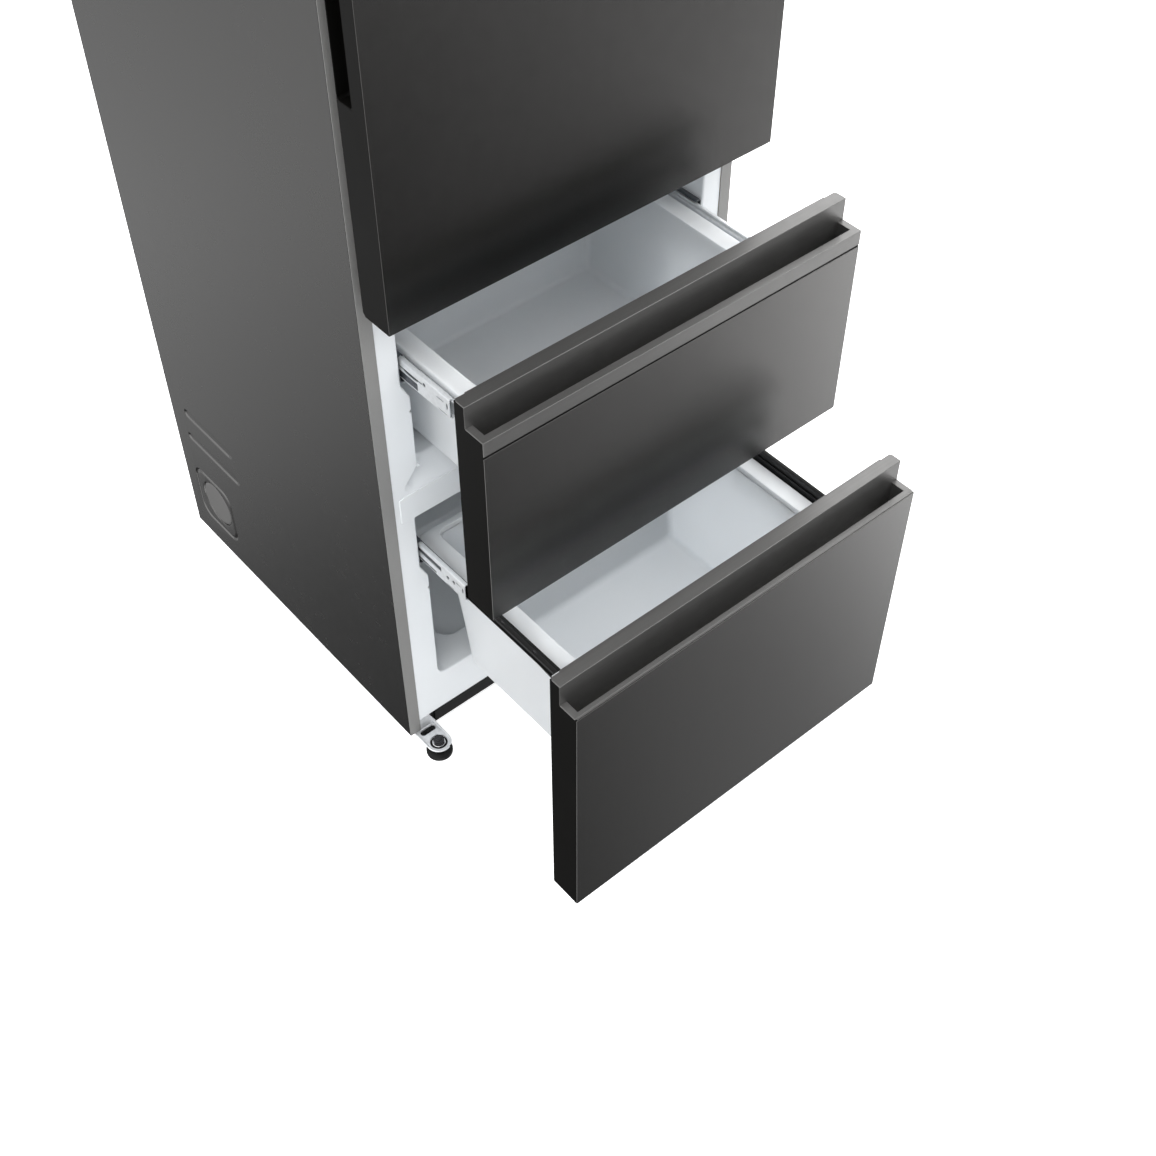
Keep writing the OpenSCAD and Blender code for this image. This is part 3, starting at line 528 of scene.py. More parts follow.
V_GRAIN = (1.0, 1.0, 0.012)      # grain runs upwards
H_GRAIN = (0.012, 1.0, 1.0)      # grain runs across

M = {}
M["side"] = brushed_metal("side_steel", (0.150, 0.148, 0.145), 0.97, 0.25, 0.27, (1, 1, 1), 0.02, 0.02)
M["front"] = brushed_metal("front_steel", (0.155, 0.152, 0.149), 1.0, 0.235, 0.25, V_GRAIN, 0.02, 0.025)
# the door takes a darker copy of the front steel: painted shade
M["door"] = brushed_metal("door_steel", (0.088, 0.086, 0.084), 1.0, 0.235, 0.25, V_GRAIN, 0.02, 0.025)
M["flange"] = brushed_metal("flange_steel", (0.270, 0.266, 0.259), 0.15, 0.42, 0.48, (1, 1, 1), 0.03, 0.03)
M["handle"] = brushed_metal("handle_metal", (0.212, 0.209, 0.205), 0.92, 0.40, 0.44, H_GRAIN, 0.03, 0.03)
M["black"] = plastic("black_plastic", (0.0034, 0.0032, 0.0028), 0.40, 0.10, 0.1, 0.08, 1500)
M["blacksteel"] = brushed_metal("black_steel", (0.007, 0.007, 0.007), 0.2, 0.38, 0.46, (1, 1, 1), 0.1, 0.08)
M["white"] = plastic("white_plastic", (0.865, 0.888, 0.905), 0.36, 0.4, 0.015, 0.05, 1300)
M["whitegloss"] = plastic("white_gloss_plastic", (0.87, 0.885, 0.895), 0.22, 0.5, 0.012, 0.03, 1100)
M["frost"] = frosted("frosted_plastic", (0.76, 0.79, 0.815), 0.38)
M["clear"] = clear("clear_plastic", (0.88, 0.93, 0.95), 0.08, 0.85, 0.04)
M["glass"] = clear("shelf_glass", (0.86, 0.95, 0.93), 0.02, 0.95, 0.01, 1.5)
M["seal"] = plastic("grey_seal", (0.46, 0.47, 0.475), 0.55, 0.3, 0.04, 0.15, 900)
M["foam"] = foam_mat("foam")
M["zinc"] = metal("zinc", (0.74, 0.76, 0.775), 0.36, 0.46, 0.08, spangle=1, metallic=0.45)
# darker copy of the zinc: painted shade for the cabinet members, which sit in shadow
M["zinc_painted_shade"] = metal("zinc_with_painted_shade", (0.17, 0.18, 0.19), 0.35, 0.5, 0.12, spangle=1)
M["zincpanel"] = brushed_metal("zinc_panel", (0.47, 0.48, 0.48), 0.55, 0.40, 0.48, (1, 1, 1), 0.1, 0.04)
M["plate"] = metal("plated_sheet", (0.74, 0.75, 0.765), 0.34, 0.44, 0.14, spangle=1, metallic=0.55)
# dark steel of the ball cages: partly the cage's own tone, partly painted shade of the recess behind the slide window
M["cage"] = metal("ball_cage_steel_and_shade", (0.085, 0.092, 0.105), 0.35, 0.5, 0.12, metallic=0.6)
M["chrome"] = metal("chrome_plate", (0.78, 0.78, 0.79), 0.10, 0.2, 0.05)
M["rubber"] = plastic("foot_rubber", (0.007, 0.007, 0.007), 0.5, 0.18, 0.15, 0.35, 900)
M["boltblack"] = brushed_metal("black_bolt", (0.018, 0.018, 0.020), 0.3, 0.18, 0.26, (1, 1, 1), 0.1, 0.08)
M["compressor"] = brushed_metal("compressor_paint", (0.014, 0.014, 0.014), 0.0, 0.22, 0.3, (1, 1, 1), 0.25, 0.1, coat=0.4)
M["tube"] = brushed_metal("tube_steel", (0.022, 0.024, 0.026), 0.2, 0.35, 0.45, (1, 1, 1), 0.2, 0.1)
M["fin"] = metal("fin_aluminium", (0.80, 0.82, 0.83), 0.28, 0.38, 0.06)
M["lamp"] = lamp_mat("lamp_lens")
M["grey"] = plastic("grey_plastic", (0.55, 0.55, 0.53), 0.5, 0.35, 0.03, 0.3, 800)
M["plug"] = plastic("plug_plastic", (0.112, 0.110, 0.108), 0.48, 0.4, 0.03, 0.25, 1200)

cad_mats = {
    "front_frame": "flange", "rear_panel": "zincpanel", "cabinet_foam": "foam", "fridge_liner": "white",
    "mullion_cover": "white", "base_tray": "blacksteel", "front_base_rail": "blacksteel",
    "roller_brackets": "zinc", "compressor": "compressor", "condenser": "tube", "drip_tray": "black",
    "compressor_cover": "blacksteel", "electronics_box": "grey", "cord_gland": "rubber", "evaporator": "fin",
    "evaporator_cover": "white", "fan_motor": "grey", "fridge_air_duct": "white", "led_lamp": "lamp",
    "control_panel": "black", "glass_shelves": "glass", "shelf_trims": "clear", "top_hinge": "zinc",
    "hinge_cover": "black", "middle_hinge": "zinc", "evaporator_fan": "black", "crisper_drawer": "clear",
    "rear_roller_left": "black", "rear_roller_right": "black", "door_foam": "foam", "door_liner": "whitegloss",
    "door_bins": "clear", "upper_drawer_foam": "foam", "lower_drawer_foam": "foam",
    "upper_drawer_liner": "white", "lower_drawer_liner": "white", "outer_shell": "side", "freezer_liner": "white",
    "divider_rail": "white", "foot_brackets": "chrome", "slide_cabinet_members": "zinc_painted_shade",
    "front_foot_left": "rubber", "front_foot_right": "rubber", "upper_slide_middle": "zinc",
    "lower_slide_middle": "zinc", "door_panel": "door", "door_frame": "black", "door_gasket": "seal",
    "upper_drawer_panel": "front", "upper_drawer_frame": "black", "upper_drawer_handle": "handle",
    "upper_drawer_gasket": "seal", "upper_basket": "frost", "upper_drawer_rails": "zinc",
    "lower_drawer_panel": "front", "lower_drawer_frame": "black", "lower_drawer_handle": "handle",
    "lower_drawer_gasket": "seal", "lower_basket": "frost", "lower_drawer_rails": "blacksteel",
}
for node, key in cad_mats.items():
    ob = frame["nodes"][node]
    ob.data.materials.clear()
    ob.data.materials.append(M[key])


# ------------------------------------------------------------------ outer shell with its pressed fields
def shell():
    bm = bmesh.new()
    zb, zt = 26.0, 1836.0
    fields = [
        (rr(420, 287, 557, 306, 9.4, 6), 5.2, 1.9),
        (rr(412, 237, 562, 253, 7.9, 6), 5.0, 1.8),
        (rr(461, 68, 569, 178, 24, 8), 3.0, 1.9),
    ]
    for s in (-1, 1):
        X = s * HW
        outer = ring(bm, yz([(1, zb), (599, zb), (599, zt), (1, zt)], X))
        holes = []
        for pts, w, d in fields:
            cy = sum(p[0] for p in pts) / len(pts)
            cz = sum(p[1] for p in pts) / len(pts)
            y0, y1 = min(p[0] for p in pts), max(p[0] for p in pts)
            z0, z1 = min(p[1] for p in pts), max(p[1] for p in pts)

            def inset(k):
                a, b = (y1 - y0) / 2, (z1 - z0) / 2
                return [(cy + (p[0] - cy) * (a - k) / a, cz + (p[1] - cz) * (b - k) / b) for p in pts]
            steps = ((0, 0), (w * 0.3, d * 0.12), (w * 0.7, d * 0.88), (w, d))
            if len(pts) > 30:
                steps = ((0, 0), (0.8, 0.45), (1.9, 1.6), (3.0, 1.9), (3.9, 1.75), (6.2, 0.55), (7.2, 0.2), (8.2, 0.12))
                d = 0.12
            loops = [ring(bm, yz(inset(k), X - s * dd)) for k, dd in steps]
            for a, b in zip(loops, loops[1:]):
                bridge(bm, a, b)
            holes.append(loops[0])
            if len(pts) > 30:      # the square field holds a round seat
                c0 = ring(bm, [(X - s * d, 512 + p[0], 126 + p[1]) for p in circle(41.2, 48)])
                c1 = ring(bm, [(X - s * (d + 0.45), 512 + p[0], 126 + p[1]) for p in circle(40.3, 48)])
                c2 = ring(bm, [(X - s * (d + 2.2), 512 + p[0], 126 + p[1]) for p in circle(39.6, 48)])
                fill(bm, [loops[-1], c0])
                bridge(bm, c0, c1)
                bridge(bm, c1, c2)
                bm.faces.new(c2)
            else:
                bm.faces.new(loops[-1])
        fill(bm, [outer] + holes)
        # edges and folds of the sheet
        q = [X, X - s * 0.8]
        add_box(bm, min(q), max(q), 598.2, 599, zb, zt)
        a = sorted((X, X - s * 12))
        add_box(bm, a[0], a[1], 598.2, 599, zb, zt)
        a = sorted((X, X - s * 10))
        add_box(bm, a[0], a[1], 1, 599, zb, zb + 0.8)
        a = sorted((X, X - s * 0.8))
        add_box(bm, a[0], a[1], 1, 1.8, zb, zt)
    add_box(bm, -HW, HW, 1, 599, zt - 0.8, zt)
    ob = finish_mesh(bm, "outer_shell_sheet", M["side"], "cabinet", sharp=40)
    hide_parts("outer_shell")
    for s, nm in ((-1, "left"), (1, "right")):
        bm = bmesh.new()
        X = s * (HW - 2.3)
        prof = [(0, s * 2.1), (30, s * 2.05), (35.6, s * 1.9), (37.3, s * 1.5), (38.0, s * 0.8), (38.0, 0)]
        lathe(bm, prof, (X, 512, 126), "x", 56)
        finish_mesh(bm, "side_plug_" + nm, M["plug"], "cabinet")


shell()


# ------------------------------------------------------------------ freezer liner
YF = 1.4                # front plane of the liner
EDGE = 3.0              # radius of its mouth edges


def lean(z):
    """Back wall of the deep part, in front of the machine bay."""
    return 308 + (min(z, 300) - 121) * 18 / 164


def foot_outline(z0, z1, zl, zu, rb):
    """Compartment outline: narrow foot with a small bead, ledge, wider slide zone."""
    zb = zl - 27
    pts = [(-236, z0), (236, z0), (236, zb), (238.2, zb + 1.5), (238.2, zb + 4.5), (236, zb + 6), (236, zl), (248, zu), (248, z1),
           (-248, z1), (-248, zu), (-236, zl), (-236, zb + 6), (-238.2, zb + 4.5), (-238.2, zb + 1.5), (-236, zb)]
    return pts, [rb, rb, 1.2, 0.8, 0.8, 1.2, 7, 5, 5, 5, 5, 7, 1.2, 0.8, 0.8, 1.2]


def lower_room():
    pts, rad = foot_outline(121, 463, 340, 365, 16)
    loops = [xz(rounded(pts, rad, EDGE, 5), YF - 1.5)]
    for k in range(5):
        t = math.radians(90 * k / 4)
        loops.append(xz(rounded(pts, rad, EDGE * (1 - math.sin(t)), 5), YF + EDGE * (1 - math.cos(t))))
    br = 14
    flat = rounded(pts, rad, 0, 5)
    loops.append([(p[0], lean(p[1]) - br, p[1]) for p in flat])
    for k in (1, 2, 3, 4):
        t = math.radians(90 * k / 4)
        loops.append([(p[0], lean(p[1]) - br + br * math.sin(t), p[1]) for p in rounded(pts, rad, -br * (1 - math.cos(t)), 5)])
    bm = bmesh.new()
    loft(bm, loops, cap0=True, cap1=True)
    return bm


def rear_room():
    pts = [(-236, 285), (236, 285), (236, 340), (248, 365), (248, 463), (-248, 463), (-248, 365), (-236, 340)]
    rad = [10, 10, 7, 5, 5, 5, 5, 7]
    loops = [xz(rounded(pts, rad, -0.03, 5), 150), xz(rounded(pts, rad, -0.03, 5), 412)]
    for k in (1, 2, 3, 4):
        t = math.radians(90 * k / 4)
        loops.append(xz(rounded(pts, rad, -0.03 - 16 * (1 - math.cos(t)), 5), 412 + 16 * math.sin(t)))
    bm = bmesh.new()
    loft(bm, loops, cap0=True, cap1=True)
    return bm


def floor_well():
    bm = bmesh.new()
    loops = [xy(rr(-178, 62, 178, 249, 13, 7), 99), xy(rr(-183, 57, 183, 254, 18, 7), 101), xy(rr(-185.5, 54.5, 185.5, 256.5, 20.5, 7), 107)]
    for k in (3, 2, 1, 0):
        t = math.radians(90 * k / 3)
        d = 4 * math.sin(t)
        loops.append(xy(rr(-191 + d, 49 + d, 191 - d, 262 - d, 26 - d, 7), 121 - 4 * (1 - math.cos(t))))
    loops.append(xy(rr(-191, 49, 191, 262, 26, 7), 140))
    loft(bm, loops, cap0=True, cap1=True)
    return bm


def upper_room(mouth_only=False):
    def outline(t):
        """t is 1 at the mouth, where the floor falls and the corners open out, and 0 further in."""
        pts, rad = foot_outline(540, 794.4, 665, 688, 28)
        a = 549 + 41 * (1 - t) ** 6
        lo_l = (-236 - 30 * t, 540 - 29 * t)
        lo_r = (236 + 30 * t, 540 - 29 * t)
        p2 = [lo_l, lo_r, (236, a)] + pts[2:] + [(-236, a)]
        q2 = [28 - 20 * t, 28 - 20 * t, 6] + rad[2:] + [6]
        return p2, q2
    loops = []
    p, q = outline(1)
    loops.append(xz(rounded(p, q, EDGE, 5), YF - 1.5))
    for k in range(5):
        t = math.radians(90 * k / 4)
        y = YF + EDGE * (1 - math.cos(t))
        p, q = outline(1 - (y - YF) / 24.3)
        loops.append(xz(rounded(p, q, EDGE * (1 - math.sin(t)), 5), y))
    if mouth_only:
        bm = bmesh.new()
        loft(bm, loops, cap0=True, cap1=True)
        return bm
    for y, t in ((10, 0.64), (16, 0.40), (19, 0.275), (22, 0.152), (24, 0.075), (25.4, 0.03), (26.8, 0.008), (28.5, 0.0)):
        p, q = outline(t)
        loops.append(xz(rounded(p, q, 0, 5), y))
    p, q = outline(0)
    loops.append(xz(rounded(p, q, 0, 5), 412))
    for k in (1, 2, 3, 4):
        t = math.radians(90 * k / 4)
        loops.append(xz(rounded(p, q, -16 * (1 - math.cos(t)), 5), 412 + 16 * math.sin(t)))
    bm = bmesh.new()
    loft(bm, loops, cap0=True, cap1=True)
    return bm


def liner():
    low = finish_mesh(lower_room(), "t", None, None)
    cut(low, [rear_room()], "UNION")
    cut(low, [floor_well()], "UNION")
    low_bm = to_bm(low, clean=False)
    up_bm = upper_room()
    bmesh.ops.recalc_face_normals(up_bm, faces=up_bm.faces)
    plate = finish_mesh(box_bm(-278.8, 278.8, YF, YF + 2, 48.2, 794.8), "t", None, None)
    cut(plate, [low_bm.copy(), upper_room(True)])
    bm = to_bm(plate, clean=False)
    bmesh.ops.recalc_face_normals(bm, faces=bm.faces)
    for room in (low_bm, up_bm):
        bmesh.ops.recalc_face_normals(room, faces=room.faces)
        bmesh.ops.bisect_plane(room, geom=room.verts[:] + room.edges[:] + room.faces[:], plane_co=(0, YF + 1.98, 0), plane_no=(0, 1, 0), clear_inner=True)
        bmesh.ops.reverse_faces(room, faces=room.faces)
        me = bpy.data.meshes.new("room")
        room.to_mesh(me)
        room.free()
        bm.from_mesh(me)
        bpy.data.meshes.remove(me)
    # the small bead stays inside the thickness of the wall
    for v in bm.verts:
        if 237.75 < abs(v.co.x) < 238.3 and (637 < v.co.z < 645 or 312 < v.co.z < 320):
            v.co.x = math.copysign(237.75, v.co.x)
    ob = finish_mesh(bm, "freezer_liner_moulding", M["white"], "cabinet", sharp=40, recalc=False)
    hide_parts("freezer_liner")
    # small fillets where the upper floor meets the side walls at the mouth
    bm = bmesh.new()
    for s in (-1, 1):
        add_prism(bm, [(s * 236.6, 544.6), (s * 230.0, 544.6), (s * 232.7, 548), (s * 234.4, 550.5), (s * 235.5, 553), (s * 236.6, 556)], "y", 3.0, 26.4)
    finish_mesh(bm, "mouth_fillets", M["white"], "cabinet", sharp=50)
    bm = bmesh.new()
    pts = [(-270, 463.2), (270, 463.2), (270, 506), (262, 507.6), (-262, 507.6), (-270, 506)]
    loops = [xz(rounded(pts, [3, 3, 2, 4, 4, 2], g, 5), y) for g, y in ((0, 1.4), (0, 0.8), (-0.35, 0.32), (-1.0, 0.2))]
    loft(bm, loops, cap0=True, cap1=True)
    ob = finish_mesh(bm, "divider_cover", M["white"], "cabinet", sharp=50)
    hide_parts("divider_rail")


liner()


# ------------------------------------------------------------------ drawer fronts
def side_outline(e, z0, zl, zt):
    return [(-e, z0), (-e, zt - 1.5), (-e - 17.3, zt - 1.5), (-e - 17.3, zl - 1.5), (-e - FT + 1.2, zl - 1.5), (-e - FT + 1.2, z0)]


def drawer(pre, e, z0, zl, zt, band):
    body = pre + "_drawer"
    # sides and bottom
    bm = bmesh.new()
    for s in (-1, 1):
        a = sorted((s * HW, s * (HW - 2.0)))
        add_prism(bm, side_outline(e, z0, zl, zt), "x", a[0], a[1])
    soften(bm, 0.55, 2)
    add_box(bm, -HW + 1.9, HW - 1.9, -e - FT + 1.25, -e, z0 + 0.05, z0 + 2)
    ob = finish_mesh(bm, pre + "_front_sides", M["black"], body, sharp=30, weighted=True)
    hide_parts(pre + "_drawer_frame")
    # outer panel
    bm = bmesh.new()
    z1 = (zl - 23.8) if band else (zl - 0.9)
    add_box(bm, -HW, HW, -e - FT, -e - FT + 1.2, z0, z1)
    soften(bm, 0.55, 3)
    ob = finish_mesh(bm, pre + "_front_panel", M["front"], body, sharp=60, weighted=True)
    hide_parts(pre + "_drawer_panel")
    # top profile: a channelled block between the side plates, under a folded cap
    yb, yw, yl, yf = -e, -e - 18.4, -e - 39.2, -e - FT + (0.0 if band else 1.2)
    zc = zl - 38
    hi = HW - 2.05
    base = finish_mesh(box_bm(-hi, hi, yf + (1.25 if band else 0.02), yb - 0.05, zc - 4, zl - 0.35), "t", None, None)
    cut(base, [box_bm(-hi, hi, yw, yb - 0.05, zl - 10, zt - 0.35)], "UNION")
    cut(base, [box_bm(-HW + 0.15, HW - 0.15, yw, yw + 1.05, zl - 0.4, zt - 0.5)], "UNION")
    cut(base, [box_bm(-280, 280, yb - 1, yb + 3, zt - 12, zt - 2.3)], "UNION")
    cut(base, [box_bm(-HW + 10.3, HW - 10.3, yl, yw, zc, zl + 10)])
    bm = to_bm(base)
    soften(bm, 1.4, 3, 40, only=lambda ed: all(abs(v.co.z - zc) < 0.01 for v in ed.verts) and all(abs(v.co.x) < HW - 9 for v in ed.verts))
    # cap of the lip with its two ends, and the band that folds down over the front
    yc = yf if band else yf + 2.2
    lip = [(-HW, yc), (HW, yc), (HW, yw + 0.3), (HW - 10.3, yw + 0.3), (HW - 10.3, yl), (-HW + 10.3, yl), (-HW + 10.3, yw + 0.3), (-HW, yw + 0.3)]
    b2 = bmesh.new()
    add_prism(b2, lip, "z", zl - 1.6, zl)
    cap = finish_mesh(b2, "t", None, None)
    if band:
        cut(cap, [box_bm(-HW, HW, yf, yf + 1.3, zl - band + 0.4, zl - 1.0)], "UNION")
    b2 = to_bm(cap)
    soften(b2, 0.75, 3, 40)
    # cap of the wall behind the fingers, with rounded rear corners
    b3 = bmesh.new()
    c = 5.5
    arc_l = [(-HW + c - c * math.cos(math.radians(a)), yb - c + c * math.sin(math.radians(a))) for a in (90, 72, 54, 36, 18, 0)]
    arc_r = [(-p[0], p[1]) for p in reversed(arc_l)]
    add_prism(b3, [(-HW, yw - 0.35), (HW, yw - 0.35)] + arc_r + arc_l, "z", zt - 1.6, zt)
    soften(b3, 0.75, 3, 50)
    for extra in (b2, b3):
        me = bpy.data.meshes.new("cap")
        bmesh.ops.recalc_face_normals(extra, faces=extra.faces)
        extra.to_mesh(me)
        extra.free()
        bm.from_mesh(me)
        bpy.data.meshes.remove(me)
    ob = finish_mesh(bm, pre + "_top_profile", M["handle"], body, sharp=30, weighted=True)
    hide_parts(pre + "_drawer_handle")
    # black strip in the open joint over the front panel: painted shadow standing in for the shade in the gap
    if band:
        shadow_strip_box = (-e - FT + 0.85, -e - FT + 2.0, zl - 24.4, zl - band + 0.8)
    else:
        shadow_strip_box = (-e - FT + 1.1, yc + 0.3, zl - 3.4, zl - 1.2)
    bm = bmesh.new()
    add_box(bm, -HW + 0.7, HW - 0.7, *shadow_strip_box)
    soften(bm, 0.12, 1)
    finish_mesh(bm, pre + "_painted_shadow_strip", M["black"], body, sharp=40)


drawer("upper", UE, 495, 787, 818, 21)
drawer("lower", LE, 35, 450, 485, 0)


# ------------------------------------------------------------------ door
def door():
    bm = bmesh.new()
    add_box(bm, -HW, HW, DY0, DY0 + 1.2, 832, 1832)
    soften(bm, 0.55, 3)
    # door panel in the darkened steel, whose colour carries painted shade
    ob = finish_mesh(bm, "door_front_panel", M["door"], "door", sharp=60, weighted=True)
    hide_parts("door_panel")
    # moulded pocket behind the grip in the door's left edge
    bm = bmesh.new()
    ym, zm, hy, hz = -28.0, 1300.0, 13.9, 195.9
    P = lambda k, r, x: [(x, ym + p[0], zm + p[1]) for p in rr(-hy + k, -hz + k, hy - k, hz - k, r, 6)]
    loft(bm, [P(0.05, 1.0, -297.35), P(1.0, 2.0, -297.45), P(1.3, 3.0, -297.0), P(1.6, 4.0, -288), P(2.4, 6.0, -281), P(4.6, 6.0, -277.6), P(8.0, 4.0, -276.0)], cap1=True)
    finish_mesh(bm, "door_grip_pocket", M["black"], "door", sharp=40)
    # the frame's folds behind the free edge, over the foam above and below the grip
    bm = bmesh.new()
    for z0, z1 in ((862.05, 1095.9), (1504.1, 1807.9)):
        add_box(bm, -295.45, -273.35, -GAP - 1.95, -GAP, z0, z1)
    soften(bm, 0.3, 2)
    finish_mesh(bm, "door_edge_folds", M["black"], "door", sharp=60, weighted=True)


door()


# ------------------------------------------------------------------ seals: mitred frames with a bellows section
def seal(name, node, body, x1, z0, z1, ya, yb, width):
    prof = [(0.2, 0.0), (0.2, 0.28), (1.6, 0.36), (1.6, 0.46), (0.2, 0.54), (0.2, 0.88), (1.2, 1.0), (width - 1.2, 1.0), (width - 0.2, 0.88),
            (width - 0.2, 0.54), (width - 1.6, 0.46), (width - 1.6, 0.36), (width - 0.2, 0.28), (width - 0.2, 0.0)]
    bm = bmesh.new()
    loops = []
    for d, t in prof:
        y = ya + (yb - ya) * t
        loops.append([(-x1 + d, y, z0 + d), (x1 - d, y, z0 + d), (x1 - d, y, z1 - d), (-x1 + d, y, z1 - d)])
    rings = [ring(bm, l) for l in loops]
    for a, b in zip(rings, rings[1:] + rings[:1]):
        bridge(bm, a, b)
    ob = finish_mesh(bm, name, M["seal"], body, sharp=50)
    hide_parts(node)


seal("upper_front_seal", "upper_drawer_gasket", "upper_drawer", 284, 498, 798.4, -UE + 0.05, -UE + 13.9, 13)
seal("lower_front_seal", "lower_drawer_gasket", "lower_drawer", 284, 38, 465.4, -LE + 0.05, -LE + 13.9, 13)
seal("door_seal", "door_gasket", "door", 284, 840, 1824, -GAP + 0.05, -0.3, 14)


# ------------------------------------------------------------------ baskets
def tub_loops(section, x, y0, y1, r0, n=7):
    loops = []
    for d, z in section:
        loops.append(xy(rr(-x - d, y0 - d, x + d, y1 + d, max(1.5, r0 + d), n), z))
    return loops


def upper_basket():
    e = UE
    y0, y1 = -e + 16, -e + 16 + 354
    x, z0, zr = 203.0, 547.0, 726.0
    yi0, yi1 = y0 + 12, y1 - 12
    H = zr - 5 - z0

    def dr(z):
        return -6.0 * (1 - (z - z0) / H)
    sec = []
    for k in range(5):                      # outside, from the floor up
        t = math.radians(90 * k / 4)
        sec.append((2.6 + dr(z0) - 7 * (1 - math.sin(t)), z0 + 7 * (1 - math.cos(t))))
    sec += [(2.6 + dr(z0 + 60), z0 + 60), (2.6 + dr(z0 + 120), z0 + 120), (2.6, zr - 8), (3.4, zr - 3.4), (5.0, zr - 2.8)]
    loops = tub_loops(sec, x, yi0, yi1, 14)
    # rim: its outside is wider at the sides than at the ends
    R = lambda gx, r, z: xy(rr(-231 + gx, y0 + gx, 231 - gx, y1 - gx, r, 7), z)
    loops += [R(6.0, 7, zr - 2.6), R(4.6, 8, zr - 3.4), R(2.6, 9, zr - 8.6), R(2.2, 9, zr - 9.6), R(0.4, 11, zr - 9.6), R(0, 11, zr - 9.0),
              R(0.5, 11, zr - 5.6), R(1.5, 10, zr - 1.9), R(2.3, 10, zr - 0.7), R(3.8, 9, zr)]
    sec = [(1.2, zr), (0.3, zr - 0.5), (0.0, zr - 1.6), (dr(z0 + 120), z0 + 120), (dr(z0 + 60), z0 + 60)]
    for k in range(5):
        t = math.radians(90 * k / 4)
        sec.append((dr(z0) - 7 * (1 - math.cos(t)), z0 + 2.6 + 7 * (1 - math.sin(t))))
    loops += tub_loops(sec, x, yi0, yi1, 14)
    bm = bmesh.new()
    loft(bm, loops, cap0=True, cap1=True)
    ob = finish_mesh(bm, "upper_basket_moulding", M["frost"], "upper_drawer", sharp=45)
    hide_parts("upper_basket")
    return ob


upper_basket()


def lower_basket():
    e = LE
    y0, y1 = -e + 16, -e + 16 + 354
    zb, zs, zr = 148.0, 294.0, 386.0
    x = 203.0
    ys = y0 + 298

    def deep(w, top):
        """Drafted tub with a rounded floor and a back wall that leans to the rear."""
        b = bmesh.new()
        za, rnd = zb + 2.6 - w, 10
        L = []
        for k in range(6):
            t = math.radians(90 * k / 5)
            L.append((w - 7 - rnd * (1 - math.sin(t)), za + rnd * (1 - math.cos(t)), ys - 2))
        L += [(w - 6, 190, ys + 2), (w - 4, 240, ys + 7), (w - 2, 290, ys + 14), (w - 1, 330, ys + 17), (w, top, ys + 18)]
        L = [xy(rr(-x - d, y0 + 12 - d, x + d, yb + d, max(3, 16 + d), 7), z) for d, z, yb in L]
        loft(b, L, cap0=True, cap1=True)
        return b

    def shallow(w, top):
        b = bmesh.new()
        za, rnd = zs + 2.6 - w, 15
        L = []
        for k in range(6):
            t = math.radians(90 * k / 5)
            L.append((w - 1.5 - rnd * (1 - math.sin(t)), za + rnd * (1 - math.cos(t))))
        L.append((w - 0.02, top))
        L = [xy(rr(-x - min(d, 0.9 * w - 0.6), y0 + 40, x + min(d, 0.9 * w - 0.6), y1 - 12 + d, max(3, 14 + d), 7), z) for d, z in L]
        loft(b, L, cap0=True, cap1=True)
        return b
    base = finish_mesh(deep(2.6, 377), "t", None, None)
    cut(base, [shallow(2.6, 377)], "UNION")
    cut(base, [deep(0.0, 400), shallow(0.0, 400)])
    bm = to_bm(base, clean=False)
    # rim as one closed section
    R = lambda gx, r, z: xy(rr(-231 + gx, y0 + gx, 231 - gx, y1 - gx, r, 7), z)
    I = lambda d, r, z: xy(rr(-x - d, y0 + 12 - d, x + d, y1 - 12 + d, r + d, 7), z)
    loops = [I(2.5, 14, 376), I(2.5, 14, zr - 3.6), R(6.0, 7, zr - 2.6), R(4.6, 8, zr - 3.4), R(2.6, 9, zr - 8.6), R(2.2, 9, zr - 9.6), R(0.4, 11, zr - 9.6), R(0, 11, zr - 9.0),
             R(0.5, 11, zr - 5.6), R(1.5, 10, zr - 1.9), R(2.3, 10, zr - 0.7), R(3.8, 9, zr), I(1.2, 14, zr), I(0.3, 14, zr - 0.5), I(0.0, 14, zr - 1.6), I(0.0, 14, 376)]
    rings = [ring(bm, l) for l in loops]
    for a, b in zip(rings, rings[1:] + rings[:1]):
        bridge(bm, a, b)
    ob = finish_mesh(bm, "lower_basket_moulding", M["frost"], "lower_drawer", sharp=45)
    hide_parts("lower_basket")


lower_basket()


# ------------------------------------------------------------------ levelling feet and brackets
def foot(side, s):
    X, Y = s * 271.0, -34.0
    bm = bmesh.new()
    prof = [(0, 0.0), (16.5, 0.0), (18.5, 0.5), (19.7, 1.8), (20, 3.2), (20, 7.4), (19.6, 8.6), (18.4, 9.6), (17.2, 10.2), (16.6, 10.9), (13.5, 12.0), (11, 12.4), (9.8, 13.2), (9.4, 15.0), (0, 15.0)]
    lathe(bm, prof, (X, Y, 0), "z", 48)
    pad = finish_mesh(bm, "foot_pad_" + side, M["rubber"], "front_foot_" + side if ("front_foot_" + side) in frame["bodies"] else "foot_" + side, sharp=40)
    bm = bmesh.new()
    lathe(bm, [(0, 14), (4.9, 14), (4.9, 32.2), (4.2, 33), (0, 33)], (X, Y, 0), "z", 28)
    for z0, z1, r in ((14, 21.2, 8.6), (24.9, 31.2, 8.9)):
        c = [(X + r * math.cos(math.radians(60 * i + 12)), Y + r * math.sin(math.radians(60 * i + 12))) for i in range(6)]
        add_prism(bm, c, "z", z0, z1)
    soften(bm, 0.5, 2, 40)
    stem = finish_mesh(bm, "foot_stem_" + side, M["boltblack"], "foot_" + side, sharp=35)
    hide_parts("front_foot_" + side)


foot("left", -1)
foot("right", 1)


